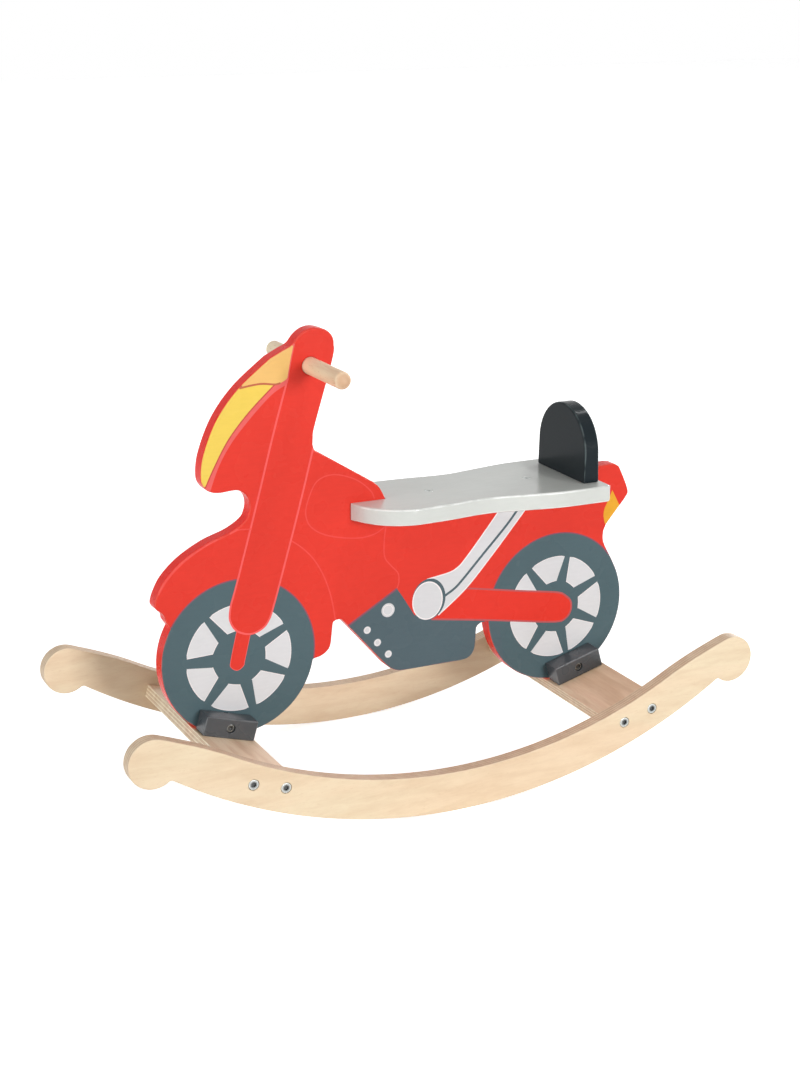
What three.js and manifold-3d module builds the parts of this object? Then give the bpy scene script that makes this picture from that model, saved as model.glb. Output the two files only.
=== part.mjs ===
// A child's wooden rocking motorcycle: a painted body board stands on two cross slats between two
// curved rockers, with a slotted seat, a backrest and a dowel for a handlebar.
// Millimetres. +X points to the tail, +Y to the rider's right hand, +Z up. The origin lies on the
// floor, under the middle of the wheelbase, on the middle plane of the body board.
import * as THREE from "three";
import { mergeVertices } from "three/addons/utils/BufferGeometryUtils.js";
import Module from "manifold-3d";

const wasm = await Module();
wasm.setup();

// Fit between pieces that touch, and how far a cutting tool runs past a face
const touchGap = 0.3;
const cutOverrun = 2;

// Rockers
const overallLength = 800;
const overallWidth = 330;
const rockerThickness = 18;
const rockerRadius = 648;
const rockerDepth = 48;
const bulbRadius = 28.5;
const bulbInset = 7;
const bulbNotchRadius = 5;
const rockerEdgeRound = 1.5;
const upperArcEndDegrees = 28;
const bulbStartDegrees = 20;
const runHandleShare = 0.34;

// Slats
const slatTiltDegrees = 16;
const slatWidth = 72;
const slatThickness = 15;
const slatRise = 27.2;
const slatEdgeRound = 0.8;

// Body board
const boardThickness = 20;
const boardEdgeRound = 2;
const bodyHeight = 548;
const wheelbase = 423;
const wheelRadius = 95;
const wheelFlatDepth = 4;
const fenderHeight = 57;
const engineDepth = 51;
const engineGap = 17;
const engineRoof = 6;
const tailLength = 66;

// Seat
const seatHeight = 338;
const seatThickness = 20;
const seatFrontReach = 71;
const seatLength = 318;
const seatWidth = 151;
const seatWaistWidth = 119;
const seatNoseRadius = 66.5;
const seatSlotDepth = 47;
const seatEdgeRound = 2.5;
const seatCornerRadius = 6;

// Backrest
const backrestWidth = 111;
const backrestHeight = 89;
const backrestThickness = 20;
const backrestSetback = 7;
const backrestEdgeRound = 2.5;

// Handlebar
const handlebarLength = 206;
const handlebarRadius = 10;
const handlebarDome = 7;
const handlebarFit = 0.5;

// Wheel blocks
const blockLength = 65;
const blockDepth = 25;
const blockHeight = 24;
const blockEdgeRound = 1.5;

// Rocker bolts and their barrel nuts
const rockerBoltRadius = 3;
const rockerBoltSpacing = 40;
const rockerBoltReach = 38;
const rockerBoltHeadRadius = 6.2;
const rockerBoltHeadHeight = 2.6;
const rockerBoltRim = 0.6;
const barrelNutRadius = 5;
const barrelNutSetback = 30;
const barrelNutRoof = 2.5;
const barrelNutSlotWidth = 1.4;
const barrelNutSlotDepth = 1.2;

// Wheel bolts and their sleeve nuts
const wheelBoltRadius = 3;
const wheelBoltHeadRadius = 5;
const wheelBoltHeadHeight = 6;
const wheelBoltRecess = 8.5;
const sleeveNutRadius = 4.2;
const sleeveNutHeadHeight = 3;
const sleeveNutLength = 34;
const threadOverlap = 20;

// Screws: each is countersunk, with a cross recess
const screwHeadAngleDegrees = 45;
const screwHeadRimShare = 0.25;
const seatScrewSize = { radius: 2.3, headRadius: 4.6, length: 48 };
const seatScrewFrontSetback = 108;
const seatScrewSpacing = 134;
const backrestScrewSize = { radius: 2.3, headRadius: 4.6, length: 50 };
const backrestScrewSpacing = 62;
const blockScrewSize = { radius: 2, headRadius: 4, length: 30 };
const blockScrewSpacing = 42;
const screwPointLength = 6;

// Sockets and holes
const socketRadius = 2.9;
const socketDepth = 2;
const crossWidth = 1.2;
const crossDepth = 1.4;
const crossShare = 0.55;
const holeClearance = 0.3;
const headClearance = 0.4;

// How finely round shapes are cut
const arcStepDegrees = 6;
const gentleStepDegrees = 3;
const bulbStepDegrees = 12;
const tightStepDegrees = 20;
const rimStepDegrees = 9;
const roundSides = 12;
const dowelSides = 24;
const hexSides = 6;
const splineSteps = 3;
const runSteps = 6;
const edgeSegments = 1;

// Outline of the body board. Points near a wheel are shares of the wheel's radius, from its axle.
const lobeShares = [[1.082, -0.164], [1.162, -0.119], [1.223, -0.032], [1.255, 0.221],
  [1.276, 0.268], [1.331, 0.283], [1.385, 0.266], [1.448, 0.197]];
const tailRootShares = [[0.85, 0.535], [0.732, 0.753], [0.707, 0.853], [0.714, 0.948]];
const fenderShares = [[-0.079, 1.596], [-0.382, 1.492], [-0.684, 1.326], [-0.901, 1.132],
  [-1.006, 0.963], [-1.053, 0.821], [-1.027, 0.755], [-0.969, 0.705], [-0.933, 0.653],
  [-0.92, 0.589], [-0.874, 0.511]];
// The engine's front corner: shares of the wheelbase and of the engine's depth, from the front axle.
const engineNoseShares = [[0.447, -0.792], [0.464, -0.91], [0.488, -0.988], [0.514, -1]];
// The engine's rear edge: shares of the gap before the rear wheel, and of the engine's depth.
const engineHeelShares = [[-1.27, -1], [-0.6, -0.963], [-0.18, -0.835], [-0.01, -0.639],
  [0.04, -0.285], [0.14, -0.187], [0.44, -0.12]];
// The tail: shares of its length, from the rear edge of the seat's top.
const tailShares = [[0.541, -1.068], [0.811, -0.752], [0.947, -0.591], [0.994, -0.447],
  [0.826, -0.053], [0.742, 0.061], [0.606, 0.1], [0.314, 0.095]];
// Tank and head: shares of the wheelbase from the front axle, and of the height above the seat.
const tankShares = [[0.435, 0.04], [0.425, 0.072], [0.408, 0.104]];
const tankTopShares = [[0.248, 0.305], [0.233, 0.323], [0.227, 0.357]];
const headShares = [[0.228, 0.4], [0.235, 0.471], [0.287, 0.814], [0.289, 0.924],
  [0.271, 0.976], [0.231, 1], [0.189, 0.952], [0.171, 0.914], [0.145, 0.893]];
// Middle of the handlebar's hole in the head, in the same shares.
const handlebarPlaceShares = [0.222, 0.795];
// Fairing and neck: shares of the wheelbase, and of the height above the fender.
const fairingShares = [[0.105, 0.864], [0.014, 0.728], [-0.049, 0.581], [-0.088, 0.413],
  [-0.096, 0.28], [-0.076, 0.224], [-0.058, 0.216], [0.002, 0.213], [0.021, 0.199],
  [0.035, 0.17], [0.041, 0.132], [0.038, 0.088], [0.025, 0.046]];
const fenderEndDegrees = 150;
const lobeStartDegrees = -10.5;
const tailRootEndDegrees = 28;

// Outline of one side of the seat, from the rear: shares of the seat's length behind the round
// nose, and of the way from the waist's half width to the full half width.
const seatSideShares = [[0.975, 1], [0.8, 0.99], [0.68, 0.84], [0.45, 0.15], [0.37, 0],
  [0.28, 0.06], [0.17, 0.28]];

// Worked out from the sizes above
const slatTilt = THREE.MathUtils.degToRad(slatTiltDegrees);
const wheelFoot = wheelRadius - wheelFlatDepth;
const slatTop = wheelFoot + touchGap;
const slatMiddle = slatTop + slatThickness / 2;
const axleX = wheelbase / 2;
const slatX = axleX + slatMiddle * Math.sin(slatTilt);
const slatHeight = rockerRadius - Math.sqrt((rockerRadius - slatRise) ** 2 - slatX ** 2);
const axleHeight = slatHeight + slatMiddle * Math.cos(slatTilt);
const fenderTop = axleHeight + wheelRadius + fenderHeight;
const seatFront = -seatFrontReach;
const seatRear = seatFront + seatLength;
const seatBottom = seatHeight - seatThickness;
const seatBed = seatBottom - touchGap;
const tankRear = seatFront + seatSlotDepth - touchGap;
const noseCentreX = seatFront + seatNoseRadius;
const backrestMiddle = seatRear - backrestSetback - backrestThickness / 2;
const innerY = overallWidth / 2 - rockerThickness;
const blockY = boardThickness / 2 + touchGap;
const blockOuterY = blockY + blockDepth;
const blockFoot = slatTop - touchGap;
const wheelBoltDrop = blockFoot - blockHeight / 2;
const blockMiddleY = blockY + blockDepth / 2;
const boltOffsets = [-rockerBoltSpacing / 2, rockerBoltSpacing / 2];
const blockScrewOffsets = [-blockScrewSpacing / 2, blockScrewSpacing / 2];

const up = new THREE.Vector3(0, 0, 1);
const down = new THREE.Vector3(0, 0, -1);
const across = new THREE.Vector3(0, 1, 0);
const ends = [{ name: "front", side: -1 }, { name: "rear", side: 1 }];
const flanks = [{ name: "left", side: -1 }, { name: "right", side: 1 }];

// Finishes
const finish = (color, roughness, metalness) =>
  new THREE.MeshStandardMaterial({ color, roughness, metalness });
const redPaint = finish(0xe9473c, 0.35, 0);
const greyPaint = finish(0xbfc2c1, 0.3, 0);
const blackPaint = finish(0x35383b, 0.3, 0);
const birch = finish(0xe9d5b4, 0.6, 0);
const beech = finish(0xdcb894, 0.6, 0);
const steel = finish(0xc9cacb, 0.3, 1);

// Turns a closed three.js geometry into a solid that can be cut and joined.
function solidOf(geometry, matrix = new THREE.Matrix4()) {
  const bare = geometry.clone().applyMatrix4(matrix);
  bare.deleteAttribute("normal");
  bare.deleteAttribute("uv");
  const merged = mergeVertices(bare);
  return new wasm.Manifold(new wasm.Mesh({
    numProp: 3,
    vertProperties: merged.attributes.position.array,
    triVerts: new Uint32Array(merged.index.array),
  }));
}

// Turns a solid back into a three.js geometry.
function geometryOf(solid) {
  const { vertProperties, triVerts } = solid.getMesh();
  const geometry = new THREE.BufferGeometry();
  geometry.setAttribute("position", new THREE.BufferAttribute(vertProperties, 3));
  geometry.setIndex(new THREE.BufferAttribute(triVerts, 1));
  geometry.computeVertexNormals();
  return geometry;
}

function named(name, solid, material) {
  const mesh = new THREE.Mesh(geometryOf(solid), material);
  mesh.name = name;
  return mesh;
}

// Points of an arc, from one angle to another, both in degrees.
function arcPoints(centre, radius, fromDegrees, toDegrees, stepDegrees = arcStepDegrees) {
  const steps = Math.max(1, Math.round(Math.abs(toDegrees - fromDegrees) / stepDegrees));
  return Array.from({ length: steps + 1 }, (_, step) => {
    const angle = THREE.MathUtils.degToRad(fromDegrees + ((toDegrees - fromDegrees) * step) / steps);
    return new THREE.Vector2(
      centre.x + radius * Math.cos(angle),
      centre.y + radius * Math.sin(angle),
    );
  });
}

const smoothPoints = (points) =>
  new THREE.SplineCurve(points).getPoints((points.length - 1) * splineSteps);

// Points whose two shares are laid out from an origin with two scales.
const laidOut = (shares, originX, scaleX, originZ, scaleZ) =>
  shares.map(([x, z]) => new THREE.Vector2(originX + x * scaleX, originZ + z * scaleZ));

// A flat board of an outline, with its middle plane on its own XY plane and its edges eased.
function flatBoard(points, thickness, edgeRound) {
  const geometry = new THREE.ExtrudeGeometry(new THREE.Shape(points), {
    depth: thickness - 2 * edgeRound,
    bevelThickness: edgeRound,
    bevelSize: edgeRound,
    bevelOffset: -edgeRound,
    bevelSegments: edgeSegments,
  });
  return geometry.translate(0, 0, edgeRound - thickness / 2);
}

// Such a board standing upright, with its outline in X and Z.
const uprightBoard = (points, thickness, edgeRound) =>
  solidOf(flatBoard(points, thickness, edgeRound).rotateX(Math.PI / 2));

// A bar whose section, in X and Z, has its long edges cut at 45 degrees.
function easedBar(width, height, length, ease, centre) {
  const x = width / 2;
  const z = height / 2;
  const section = new THREE.Shape([
    new THREE.Vector2(-x + ease, -z), new THREE.Vector2(x - ease, -z),
    new THREE.Vector2(x, -z + ease), new THREE.Vector2(x, z - ease),
    new THREE.Vector2(x - ease, z), new THREE.Vector2(-x + ease, z),
    new THREE.Vector2(-x, z - ease), new THREE.Vector2(-x, -z + ease),
  ]);
  const geometry = new THREE.ExtrudeGeometry(section, { depth: length, bevelEnabled: false });
  geometry.rotateX(Math.PI / 2);
  return solidOf(geometry.translate(centre.x, centre.y + length / 2, centre.z));
}

function boxCutter(width, depth, height, centre) {
  const geometry = new THREE.BoxGeometry(width, depth, height);
  return solidOf(geometry.translate(centre.x, centre.y, centre.z));
}

// A solid of revolution from a profile of [radius, distance] pairs. It starts at a point and
// runs along a direction.
function turned(profile, start, direction, sides = roundSides) {
  const points = profile.map(([radius, along]) => new THREE.Vector2(radius, along));
  const turn = new THREE.Quaternion().setFromUnitVectors(
    new THREE.Vector3(0, 1, 0),
    direction.clone().normalize(),
  );
  const matrix = new THREE.Matrix4().compose(start, turn, new THREE.Vector3(1, 1, 1));
  return solidOf(new THREE.LatheGeometry(points, sides), matrix);
}

const drilled = (radius, start, direction, length, sides = roundSides) =>
  turned([[0, -cutOverrun], [radius, -cutOverrun], [radius, length], [0, length]],
    start, direction, sides);

// A hexagon socket, cut into a head from the outside.
const hexSocket = (start, direction) =>
  drilled(socketRadius, start, direction, socketDepth, hexSides);

// A cross recess, cut into a screw's head that points along Z.
function crossRecess(start, inward, headRadius) {
  const reach = 2 * headRadius * crossShare;
  const centre = start.clone().addScaledVector(inward, (crossDepth - cutOverrun) / 2);
  const height = crossDepth + cutOverrun;
  return boxCutter(reach, crossWidth, height, centre)
    .add(boxCutter(crossWidth, reach, height, centre));
}

// The profile of a countersunk screw's head and shank, from its face down to a length.
function countersunk(radius, headRadius, length) {
  const rim = radius * screwHeadRimShare;
  const cone = (headRadius - radius) / Math.tan(THREE.MathUtils.degToRad(screwHeadAngleDegrees));
  return [[headRadius, 0], [headRadius, rim], [radius, rim + cone], [radius, length]];
}

// A countersunk wood screw with its head's face at the start point.
function woodScrew(start, direction, { radius, headRadius, length }) {
  const shank = countersunk(radius, headRadius, length - screwPointLength);
  const screw = turned([[0, 0], ...shank, [0, length]], start, direction);
  return screw.subtract(crossRecess(start, direction, headRadius));
}

// The hole for such a screw, wider all round by the clearances.
function screwHole(start, direction, { radius, headRadius, length }) {
  const far = length + cutOverrun;
  const sides = countersunk(radius + holeClearance, headRadius + headClearance, far);
  return turned([[0, -cutOverrun], [headRadius + headClearance, -cutOverrun], ...sides, [0, far]],
    start, direction);
}

// The frame of one wheel and its slat: the origin on the axle, -Z to the foot of the wheel.
function stationMatrix(side) {
  return new THREE.Matrix4()
    .makeRotationY(-side * slatTilt)
    .setPosition(side * axleX, 0, axleHeight);
}

// The way from a flank towards the middle of the toy.
const inwardFrom = (side) => new THREE.Vector3(0, -side, 0);

const onStation = (side, x, y, z) => new THREE.Vector3(x, y, z).applyMatrix4(stationMatrix(side));

// Outline of the body board

function wheelArc(side, fromDegrees, toDegrees) {
  const centre = new THREE.Vector2(side * axleX, axleHeight);
  const foot = -90 + side * slatTiltDegrees;
  const half = THREE.MathUtils.radToDeg(Math.acos(wheelFoot / wheelRadius));
  return [
    ...arcPoints(centre, wheelRadius, fromDegrees, foot - half, rimStepDegrees),
    ...arcPoints(centre, wheelRadius, foot + half, toDegrees, rimStepDegrees),
  ];
}

const nearWheel = (side, shares) =>
  laidOut(shares, side * axleX, wheelRadius, axleHeight, wheelRadius);

function engineOutline() {
  const nose = laidOut(engineNoseShares, -axleX, wheelbase, axleHeight, engineDepth);
  const heelX = axleX - wheelRadius - engineGap;
  const heel = laidOut(engineHeelShares, heelX, engineGap, axleHeight, engineDepth);
  return [...smoothPoints(nose), ...smoothPoints(heel)];
}

function tailOutline() {
  const root = nearWheel(1, tailRootShares);
  const tail = laidOut(tailShares, seatRear, tailLength, seatHeight, tailLength);
  return [
    ...smoothPoints(root),
    tail[0],
    ...smoothPoints(tail.slice(1)),
    new THREE.Vector2(seatRear + touchGap, tail.at(-1).y),
    new THREE.Vector2(seatRear + touchGap, seatBed),
    new THREE.Vector2(tankRear, seatBed),
    new THREE.Vector2(tankRear, seatHeight),
  ];
}

const aboveSeat = (shares) =>
  laidOut(shares, -axleX, wheelbase, seatHeight, bodyHeight - seatHeight);

const headOutline = () =>
  [tankShares, tankTopShares, headShares].flatMap((shares) => smoothPoints(aboveSeat(shares)));

function handlebarMiddle() {
  const [middle] = aboveSeat([handlebarPlaceShares]);
  return new THREE.Vector3(middle.x, 0, middle.y);
}

function fairingOutline() {
  const aboveFender = bodyHeight - fenderTop;
  const fairing = laidOut(fairingShares, -axleX, wheelbase, fenderTop, aboveFender);
  return smoothPoints([...fairing, ...nearWheel(-1, fenderShares)]);
}

function bodyBoard() {
  const engineRoofDegrees = THREE.MathUtils.radToDeg(Math.asin(engineRoof / wheelRadius)) - 180;
  const outline = [
    ...wheelArc(-1, fenderEndDegrees - 360, lobeStartDegrees),
    ...smoothPoints(nearWheel(-1, lobeShares)),
    ...engineOutline(),
    ...wheelArc(1, engineRoofDegrees, tailRootEndDegrees),
    ...tailOutline(),
    ...headOutline(),
    ...fairingOutline(),
  ];
  let board = uprightBoard(outline, boardThickness, boardEdgeRound);
  const bar = handlebarMiddle().setY(-boardThickness / 2);
  board = board.subtract(drilled(handlebarRadius + handlebarFit, bar, across,
    boardThickness + cutOverrun, dowelSides));
  for (const { side } of ends) {
    const start = onStation(side, 0, -boardThickness / 2, -wheelBoltDrop);
    const radius = sleeveNutRadius + holeClearance;
    board = board.subtract(drilled(radius, start, across, boardThickness + cutOverrun));
  }
  for (const start of seatScrewStarts()) {
    board = board.subtract(screwHole(start, down, seatScrewSize));
  }
  return named("body_board", board, redPaint);
}

// Seat, backrest and handlebar

function seatScrewStarts() {
  const first = seatFront + seatScrewFrontSetback;
  return [first, first + seatScrewSpacing].map((x) => new THREE.Vector3(x, 0, seatHeight));
}

function backrestScrewStarts() {
  return flanks.map(({ side }) =>
    new THREE.Vector3(backrestMiddle, (side * backrestScrewSpacing) / 2, seatBottom));
}

// One side of the seat, from its rear corner to where the round nose begins.
function seatSide(side) {
  const half = seatWidth / 2;
  const waist = seatWaistWidth / 2;
  const run = seatRear - noseCentreX;
  const corner = arcPoints(
    new THREE.Vector2(seatRear - seatCornerRadius, half - seatCornerRadius),
    seatCornerRadius, 0, 90, tightStepDegrees);
  const flowing = laidOut(seatSideShares, noseCentreX, run, waist, half - waist);
  flowing.push(new THREE.Vector2(noseCentreX, seatNoseRadius));
  const points = [...corner, ...smoothPoints(flowing)];
  return points.map((p) => new THREE.Vector2(p.x, side * p.y));
}

function seat() {
  const nose = arcPoints(new THREE.Vector2(noseCentreX, 0), seatNoseRadius, 90, 270);
  const outline = [...seatSide(1), ...nose.slice(1, -1), ...seatSide(-1).reverse()];
  const middle = seatHeight - seatThickness / 2;
  let board = solidOf(flatBoard(outline, seatThickness, seatEdgeRound).translate(0, 0, middle));
  const slotWidth = boardThickness + 2 * touchGap;
  const slot = new THREE.Vector3(seatFront + (seatSlotDepth - cutOverrun) / 2, 0, middle);
  board = board.subtract(boxCutter(seatSlotDepth + cutOverrun, slotWidth,
    seatThickness + 2 * cutOverrun, slot));
  for (const start of seatScrewStarts()) {
    board = board.subtract(screwHole(start, down, seatScrewSize));
  }
  for (const start of backrestScrewStarts()) {
    board = board.subtract(screwHole(start, up, backrestScrewSize));
  }
  return named("seat", board, greyPaint);
}

function backrest() {
  const half = backrestWidth / 2;
  const foot = seatHeight + touchGap;
  const shoulder = seatHeight + backrestHeight - half;
  const outline = [
    new THREE.Vector2(-half, foot),
    new THREE.Vector2(half, foot),
    ...arcPoints(new THREE.Vector2(0, shoulder), half, 0, 180),
  ];
  let board = uprightBoard(outline, backrestThickness, backrestEdgeRound);
  for (const { side } of flanks) {
    const start = new THREE.Vector3((side * backrestScrewSpacing) / 2, 0, seatBottom);
    board = board.subtract(screwHole(start, up, backrestScrewSize));
  }
  const mesh = named("backrest", board, blackPaint);
  mesh.rotation.z = Math.PI / 2;
  mesh.position.x = backrestMiddle;
  return mesh;
}

// A dowel whose two ends are domed, as a quarter ellipse turned round its axis.
function handlebar() {
  const half = handlebarLength / 2;
  const dome = arcPoints(new THREE.Vector2(0, 0), 1, 0, 90, tightStepDegrees)
    .map((p) => [handlebarRadius * p.x, half - handlebarDome * (1 - p.y)]);
  const opposite = dome.map(([radius, along]) => [radius, -along]).reverse();
  const bar = turned([...opposite, ...dome], new THREE.Vector3(), across, dowelSides);
  const mesh = named("handlebar", bar, birch);
  mesh.position.copy(handlebarMiddle());
  return mesh;
}

// Rockers

// One half of a rocker, from the middle of its lower edge round the bulb and back along the top.
function rockerHalf() {
  const reach = overallLength / 2 - bulbRadius;
  const swing = Math.asin(reach / (rockerRadius - bulbInset));
  const bulb = new THREE.Vector2(reach, rockerRadius - (rockerRadius - bulbInset) * Math.cos(swing));
  const middle = new THREE.Vector2(0, rockerRadius);
  // The notch's fillet touches the lower edge and the bulb from outside the wood.
  const toFillet = rockerRadius + bulbNotchRadius;
  const fromBulb = bulbRadius + bulbNotchRadius;
  const span = bulb.distanceTo(middle);
  const atMiddle = Math.acos((toFillet ** 2 + span ** 2 - fromBulb ** 2) / (2 * toFillet * span));
  const filletSwing = THREE.MathUtils.radToDeg(swing - atMiddle);
  const fillet = arcPoints(middle, toFillet, filletSwing - 90, filletSwing - 90)[0];
  const toBulb = THREE.MathUtils.radToDeg(Math.atan2(bulb.y - fillet.y, bulb.x - fillet.x));
  const lower = arcPoints(middle, rockerRadius, -90, filletSwing - 90, gentleStepDegrees);
  const notch = arcPoints(fillet, bulbNotchRadius, filletSwing + 90, toBulb, tightStepDegrees);
  const round = arcPoints(bulb, bulbRadius, toBulb - 180, 90 + bulbStartDegrees, bulbStepDegrees);
  const upper = arcPoints(middle, rockerRadius - rockerDepth, upperArcEndDegrees - 90, -90,
    gentleStepDegrees);
  // An S-shaped run leads from the top of the bulb down to the hollow upper edge.
  const runLength = round.at(-1).distanceTo(upper[0]) * runHandleShare;
  const along = (degrees) => {
    const angle = THREE.MathUtils.degToRad(degrees);
    return new THREE.Vector2(Math.cos(angle), Math.sin(angle)).multiplyScalar(runLength);
  };
  const run = new THREE.CubicBezierCurve(round.at(-1),
    round.at(-1).clone().sub(along(bulbStartDegrees)),
    upper[0].clone().add(along(upperArcEndDegrees)), upper[0]);
  return [...lower, ...notch.slice(1), ...round.slice(1), ...run.getPoints(runSteps).slice(1),
    ...upper.slice(1)];
}

function rocker({ name, side }) {
  const half = rockerHalf();
  const mirrored = half.slice(1, -1).reverse().map((p) => new THREE.Vector2(-p.x, p.y));
  const inward = inwardFrom(side);
  let board = uprightBoard([...half, ...mirrored], rockerThickness, rockerEdgeRound)
    .translate([0, (side * (overallWidth - rockerThickness)) / 2, 0]);
  for (const end of ends) {
    for (const x of boltOffsets) {
      const start = onStation(end.side, x, side * overallWidth / 2, -slatMiddle);
      board = board
        .subtract(drilled(rockerBoltHeadRadius + headClearance, start, inward,
          rockerBoltHeadHeight + touchGap))
        .subtract(drilled(rockerBoltRadius + holeClearance, start, inward,
          rockerThickness + cutOverrun));
    }
  }
  return named(`${name}_rocker`, board, birch);
}

// Slats, blocks and their fasteners, all in the frame of one wheel

function blockScrewStart(side, x) {
  return new THREE.Vector3(x, side * blockMiddleY, -slatTop - slatThickness);
}

function barrelNutHole(side, x) {
  const start = new THREE.Vector3(x, side * (innerY - barrelNutSetback), -slatTop - slatThickness);
  return drilled(barrelNutRadius + holeClearance, start, up, slatThickness - barrelNutRoof);
}

function slat(end) {
  const centre = new THREE.Vector3(0, 0, -slatMiddle);
  let board = easedBar(slatWidth, slatThickness, 2 * (innerY - touchGap), slatEdgeRound, centre);
  for (const { side } of flanks) {
    const inward = inwardFrom(side);
    for (const x of boltOffsets) {
      const start = new THREE.Vector3(x, side * innerY, -slatMiddle);
      board = board
        .subtract(drilled(rockerBoltRadius + holeClearance, start, inward,
          rockerBoltReach + cutOverrun))
        .subtract(barrelNutHole(side, x));
    }
    for (const x of blockScrewOffsets) {
      board = board.subtract(screwHole(blockScrewStart(side, x), up, blockScrewSize));
    }
  }
  return named(`${end.name}_slat`, board, beech);
}

function block(end, { name, side }) {
  const centre = new THREE.Vector3(0, side * blockMiddleY, -wheelBoltDrop);
  let solid = easedBar(blockLength, blockHeight, blockDepth, blockEdgeRound, centre);
  const outerStart = new THREE.Vector3(0, side * blockOuterY, -wheelBoltDrop);
  const inward = inwardFrom(side);
  const shankRadius = side < 0 ? wheelBoltRadius : sleeveNutRadius;
  solid = solid
    .subtract(drilled(wheelBoltHeadRadius + headClearance, outerStart, inward, wheelBoltRecess))
    .subtract(drilled(shankRadius + holeClearance, outerStart, inward, blockDepth + cutOverrun));
  for (const x of blockScrewOffsets) {
    solid = solid.subtract(screwHole(blockScrewStart(side, x), up, blockScrewSize));
  }
  return named(`${end.name}_${name}_block`, solid, blackPaint);
}

function rockerBolt(end, { name, side }, x, number) {
  const inward = inwardFrom(side);
  const start = new THREE.Vector3(x, side * (overallWidth / 2 - touchGap), -slatMiddle);
  const length = rockerThickness - touchGap + rockerBoltReach;
  const bolt = turned([[0, 0], [rockerBoltHeadRadius - rockerBoltRim, 0],
    [rockerBoltHeadRadius, rockerBoltRim], [rockerBoltHeadRadius, rockerBoltHeadHeight - touchGap],
    [rockerBoltRadius, rockerBoltHeadHeight - touchGap], [rockerBoltRadius, length], [0, length]],
  start, inward);
  const cut = bolt.subtract(hexSocket(start, inward));
  return named(`${end.name}_${name}_rocker_bolt_${number}`, cut, steel);
}

function barrelNut(end, { name, side }, x, number) {
  const foot = -slatTop - slatThickness + touchGap;
  const start = new THREE.Vector3(x, side * (innerY - barrelNutSetback), foot);
  const length = slatThickness - barrelNutRoof - 2 * touchGap;
  const body = turned([[0, 0], [barrelNutRadius, 0], [barrelNutRadius, length], [0, length]],
    start, up);
  const boltStart = new THREE.Vector3(x, side * innerY, -slatMiddle);
  const nut = body
    .subtract(drilled(rockerBoltRadius + holeClearance, boltStart, inwardFrom(side),
      barrelNutSetback + 2 * barrelNutRadius))
    .subtract(boxCutter(barrelNutSlotWidth, 2 * (barrelNutRadius + cutOverrun),
      2 * barrelNutSlotDepth, start));
  return named(`${end.name}_${name}_barrel_nut_${number}`, nut, steel);
}

function blockScrew(end, { name, side }, x, number) {
  const start = blockScrewStart(side, x).addScaledVector(up, touchGap);
  const screw = woodScrew(start, up, blockScrewSize);
  return named(`${end.name}_${name}_block_screw_${number}`, screw, steel);
}

// The bolt through both blocks and the foot of the wheel, with its head in the left block.
function wheelBolt(end) {
  const headFace = wheelBoltRecess - wheelBoltHeadHeight - touchGap;
  const start = new THREE.Vector3(0, -blockOuterY + headFace, -wheelBoltDrop);
  const sleeveMouth = blockOuterY - sleeveNutLength;
  const length = sleeveMouth + threadOverlap - start.y;
  const bolt = turned([[0, 0], [wheelBoltHeadRadius, 0], [wheelBoltHeadRadius, wheelBoltHeadHeight],
    [wheelBoltRadius, wheelBoltHeadHeight], [wheelBoltRadius, length], [0, length]], start, across);
  return named(`${end.name}_wheel_bolt`, bolt.subtract(hexSocket(start, across)), steel);
}

// The sleeve nut in the right block. Its bore is open at the end that the bolt enters.
function sleeveNut(end) {
  const headFace = wheelBoltRecess - sleeveNutHeadHeight - touchGap;
  const start = new THREE.Vector3(0, blockOuterY - headFace, -wheelBoltDrop);
  const inward = inwardFrom(1);
  const length = sleeveNutLength - headFace;
  const body = turned([[0, 0], [wheelBoltHeadRadius, 0], [wheelBoltHeadRadius, sleeveNutHeadHeight],
    [sleeveNutRadius, sleeveNutHeadHeight], [sleeveNutRadius, length], [0, length]], start, inward);
  const mouth = start.clone().addScaledVector(inward, length);
  const nut = body
    .subtract(drilled(wheelBoltRadius + holeClearance, mouth, across, threadOverlap + cutOverrun))
    .subtract(hexSocket(start, inward));
  return named(`${end.name}_sleeve_nut`, nut, steel);
}

// Assembly

function seatScrews() {
  return seatScrewStarts().map((start, i) => named(
    `${ends[i].name}_seat_screw`,
    woodScrew(start.addScaledVector(down, touchGap), down, seatScrewSize),
    steel,
  ));
}

function backrestScrews() {
  return backrestScrewStarts().map((start, i) => named(
    `${flanks[i].name}_backrest_screw`,
    woodScrew(start.addScaledVector(up, touchGap), up, backrestScrewSize),
    steel,
  ));
}

function wheelStation(end) {
  const group = new THREE.Group();
  group.applyMatrix4(stationMatrix(end.side));
  group.add(slat(end), wheelBolt(end), sleeveNut(end));
  for (const flank of flanks) {
    group.add(block(end, flank));
    boltOffsets.forEach((x, i) => {
      group.add(rockerBolt(end, flank, x, i + 1), barrelNut(end, flank, x, i + 1));
    });
    blockScrewOffsets.forEach((x, i) => group.add(blockScrew(end, flank, x, i + 1)));
  }
  return group;
}

const rockingMotorcycle = new THREE.Group();
rockingMotorcycle.add(bodyBoard(), seat(), backrest(), handlebar());
rockingMotorcycle.add(...seatScrews(), ...backrestScrews());
for (const flank of flanks) {
  rockingMotorcycle.add(rocker(flank));
}
for (const end of ends) {
  rockingMotorcycle.add(wheelStation(end));
}

export default rockingMotorcycle;
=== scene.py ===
# %% [markdown]
# # A rocking motorcycle, sawn from boards
# This toy is a kit of flat boards and bought fasteners: a painted body board stands on two cross
# slats between two curved rockers, with a slotted seat, a backrest and a dowel for a handlebar.
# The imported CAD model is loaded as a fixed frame. It has every piece in its place, but its round
# edges are faceted and it has no paint. Each new piece here is built on the same few sizes, so it
# stands exactly where its node stands. Lengths are metres, +X points to the tail and +Z up.

# %% Load the frame
import math

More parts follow.
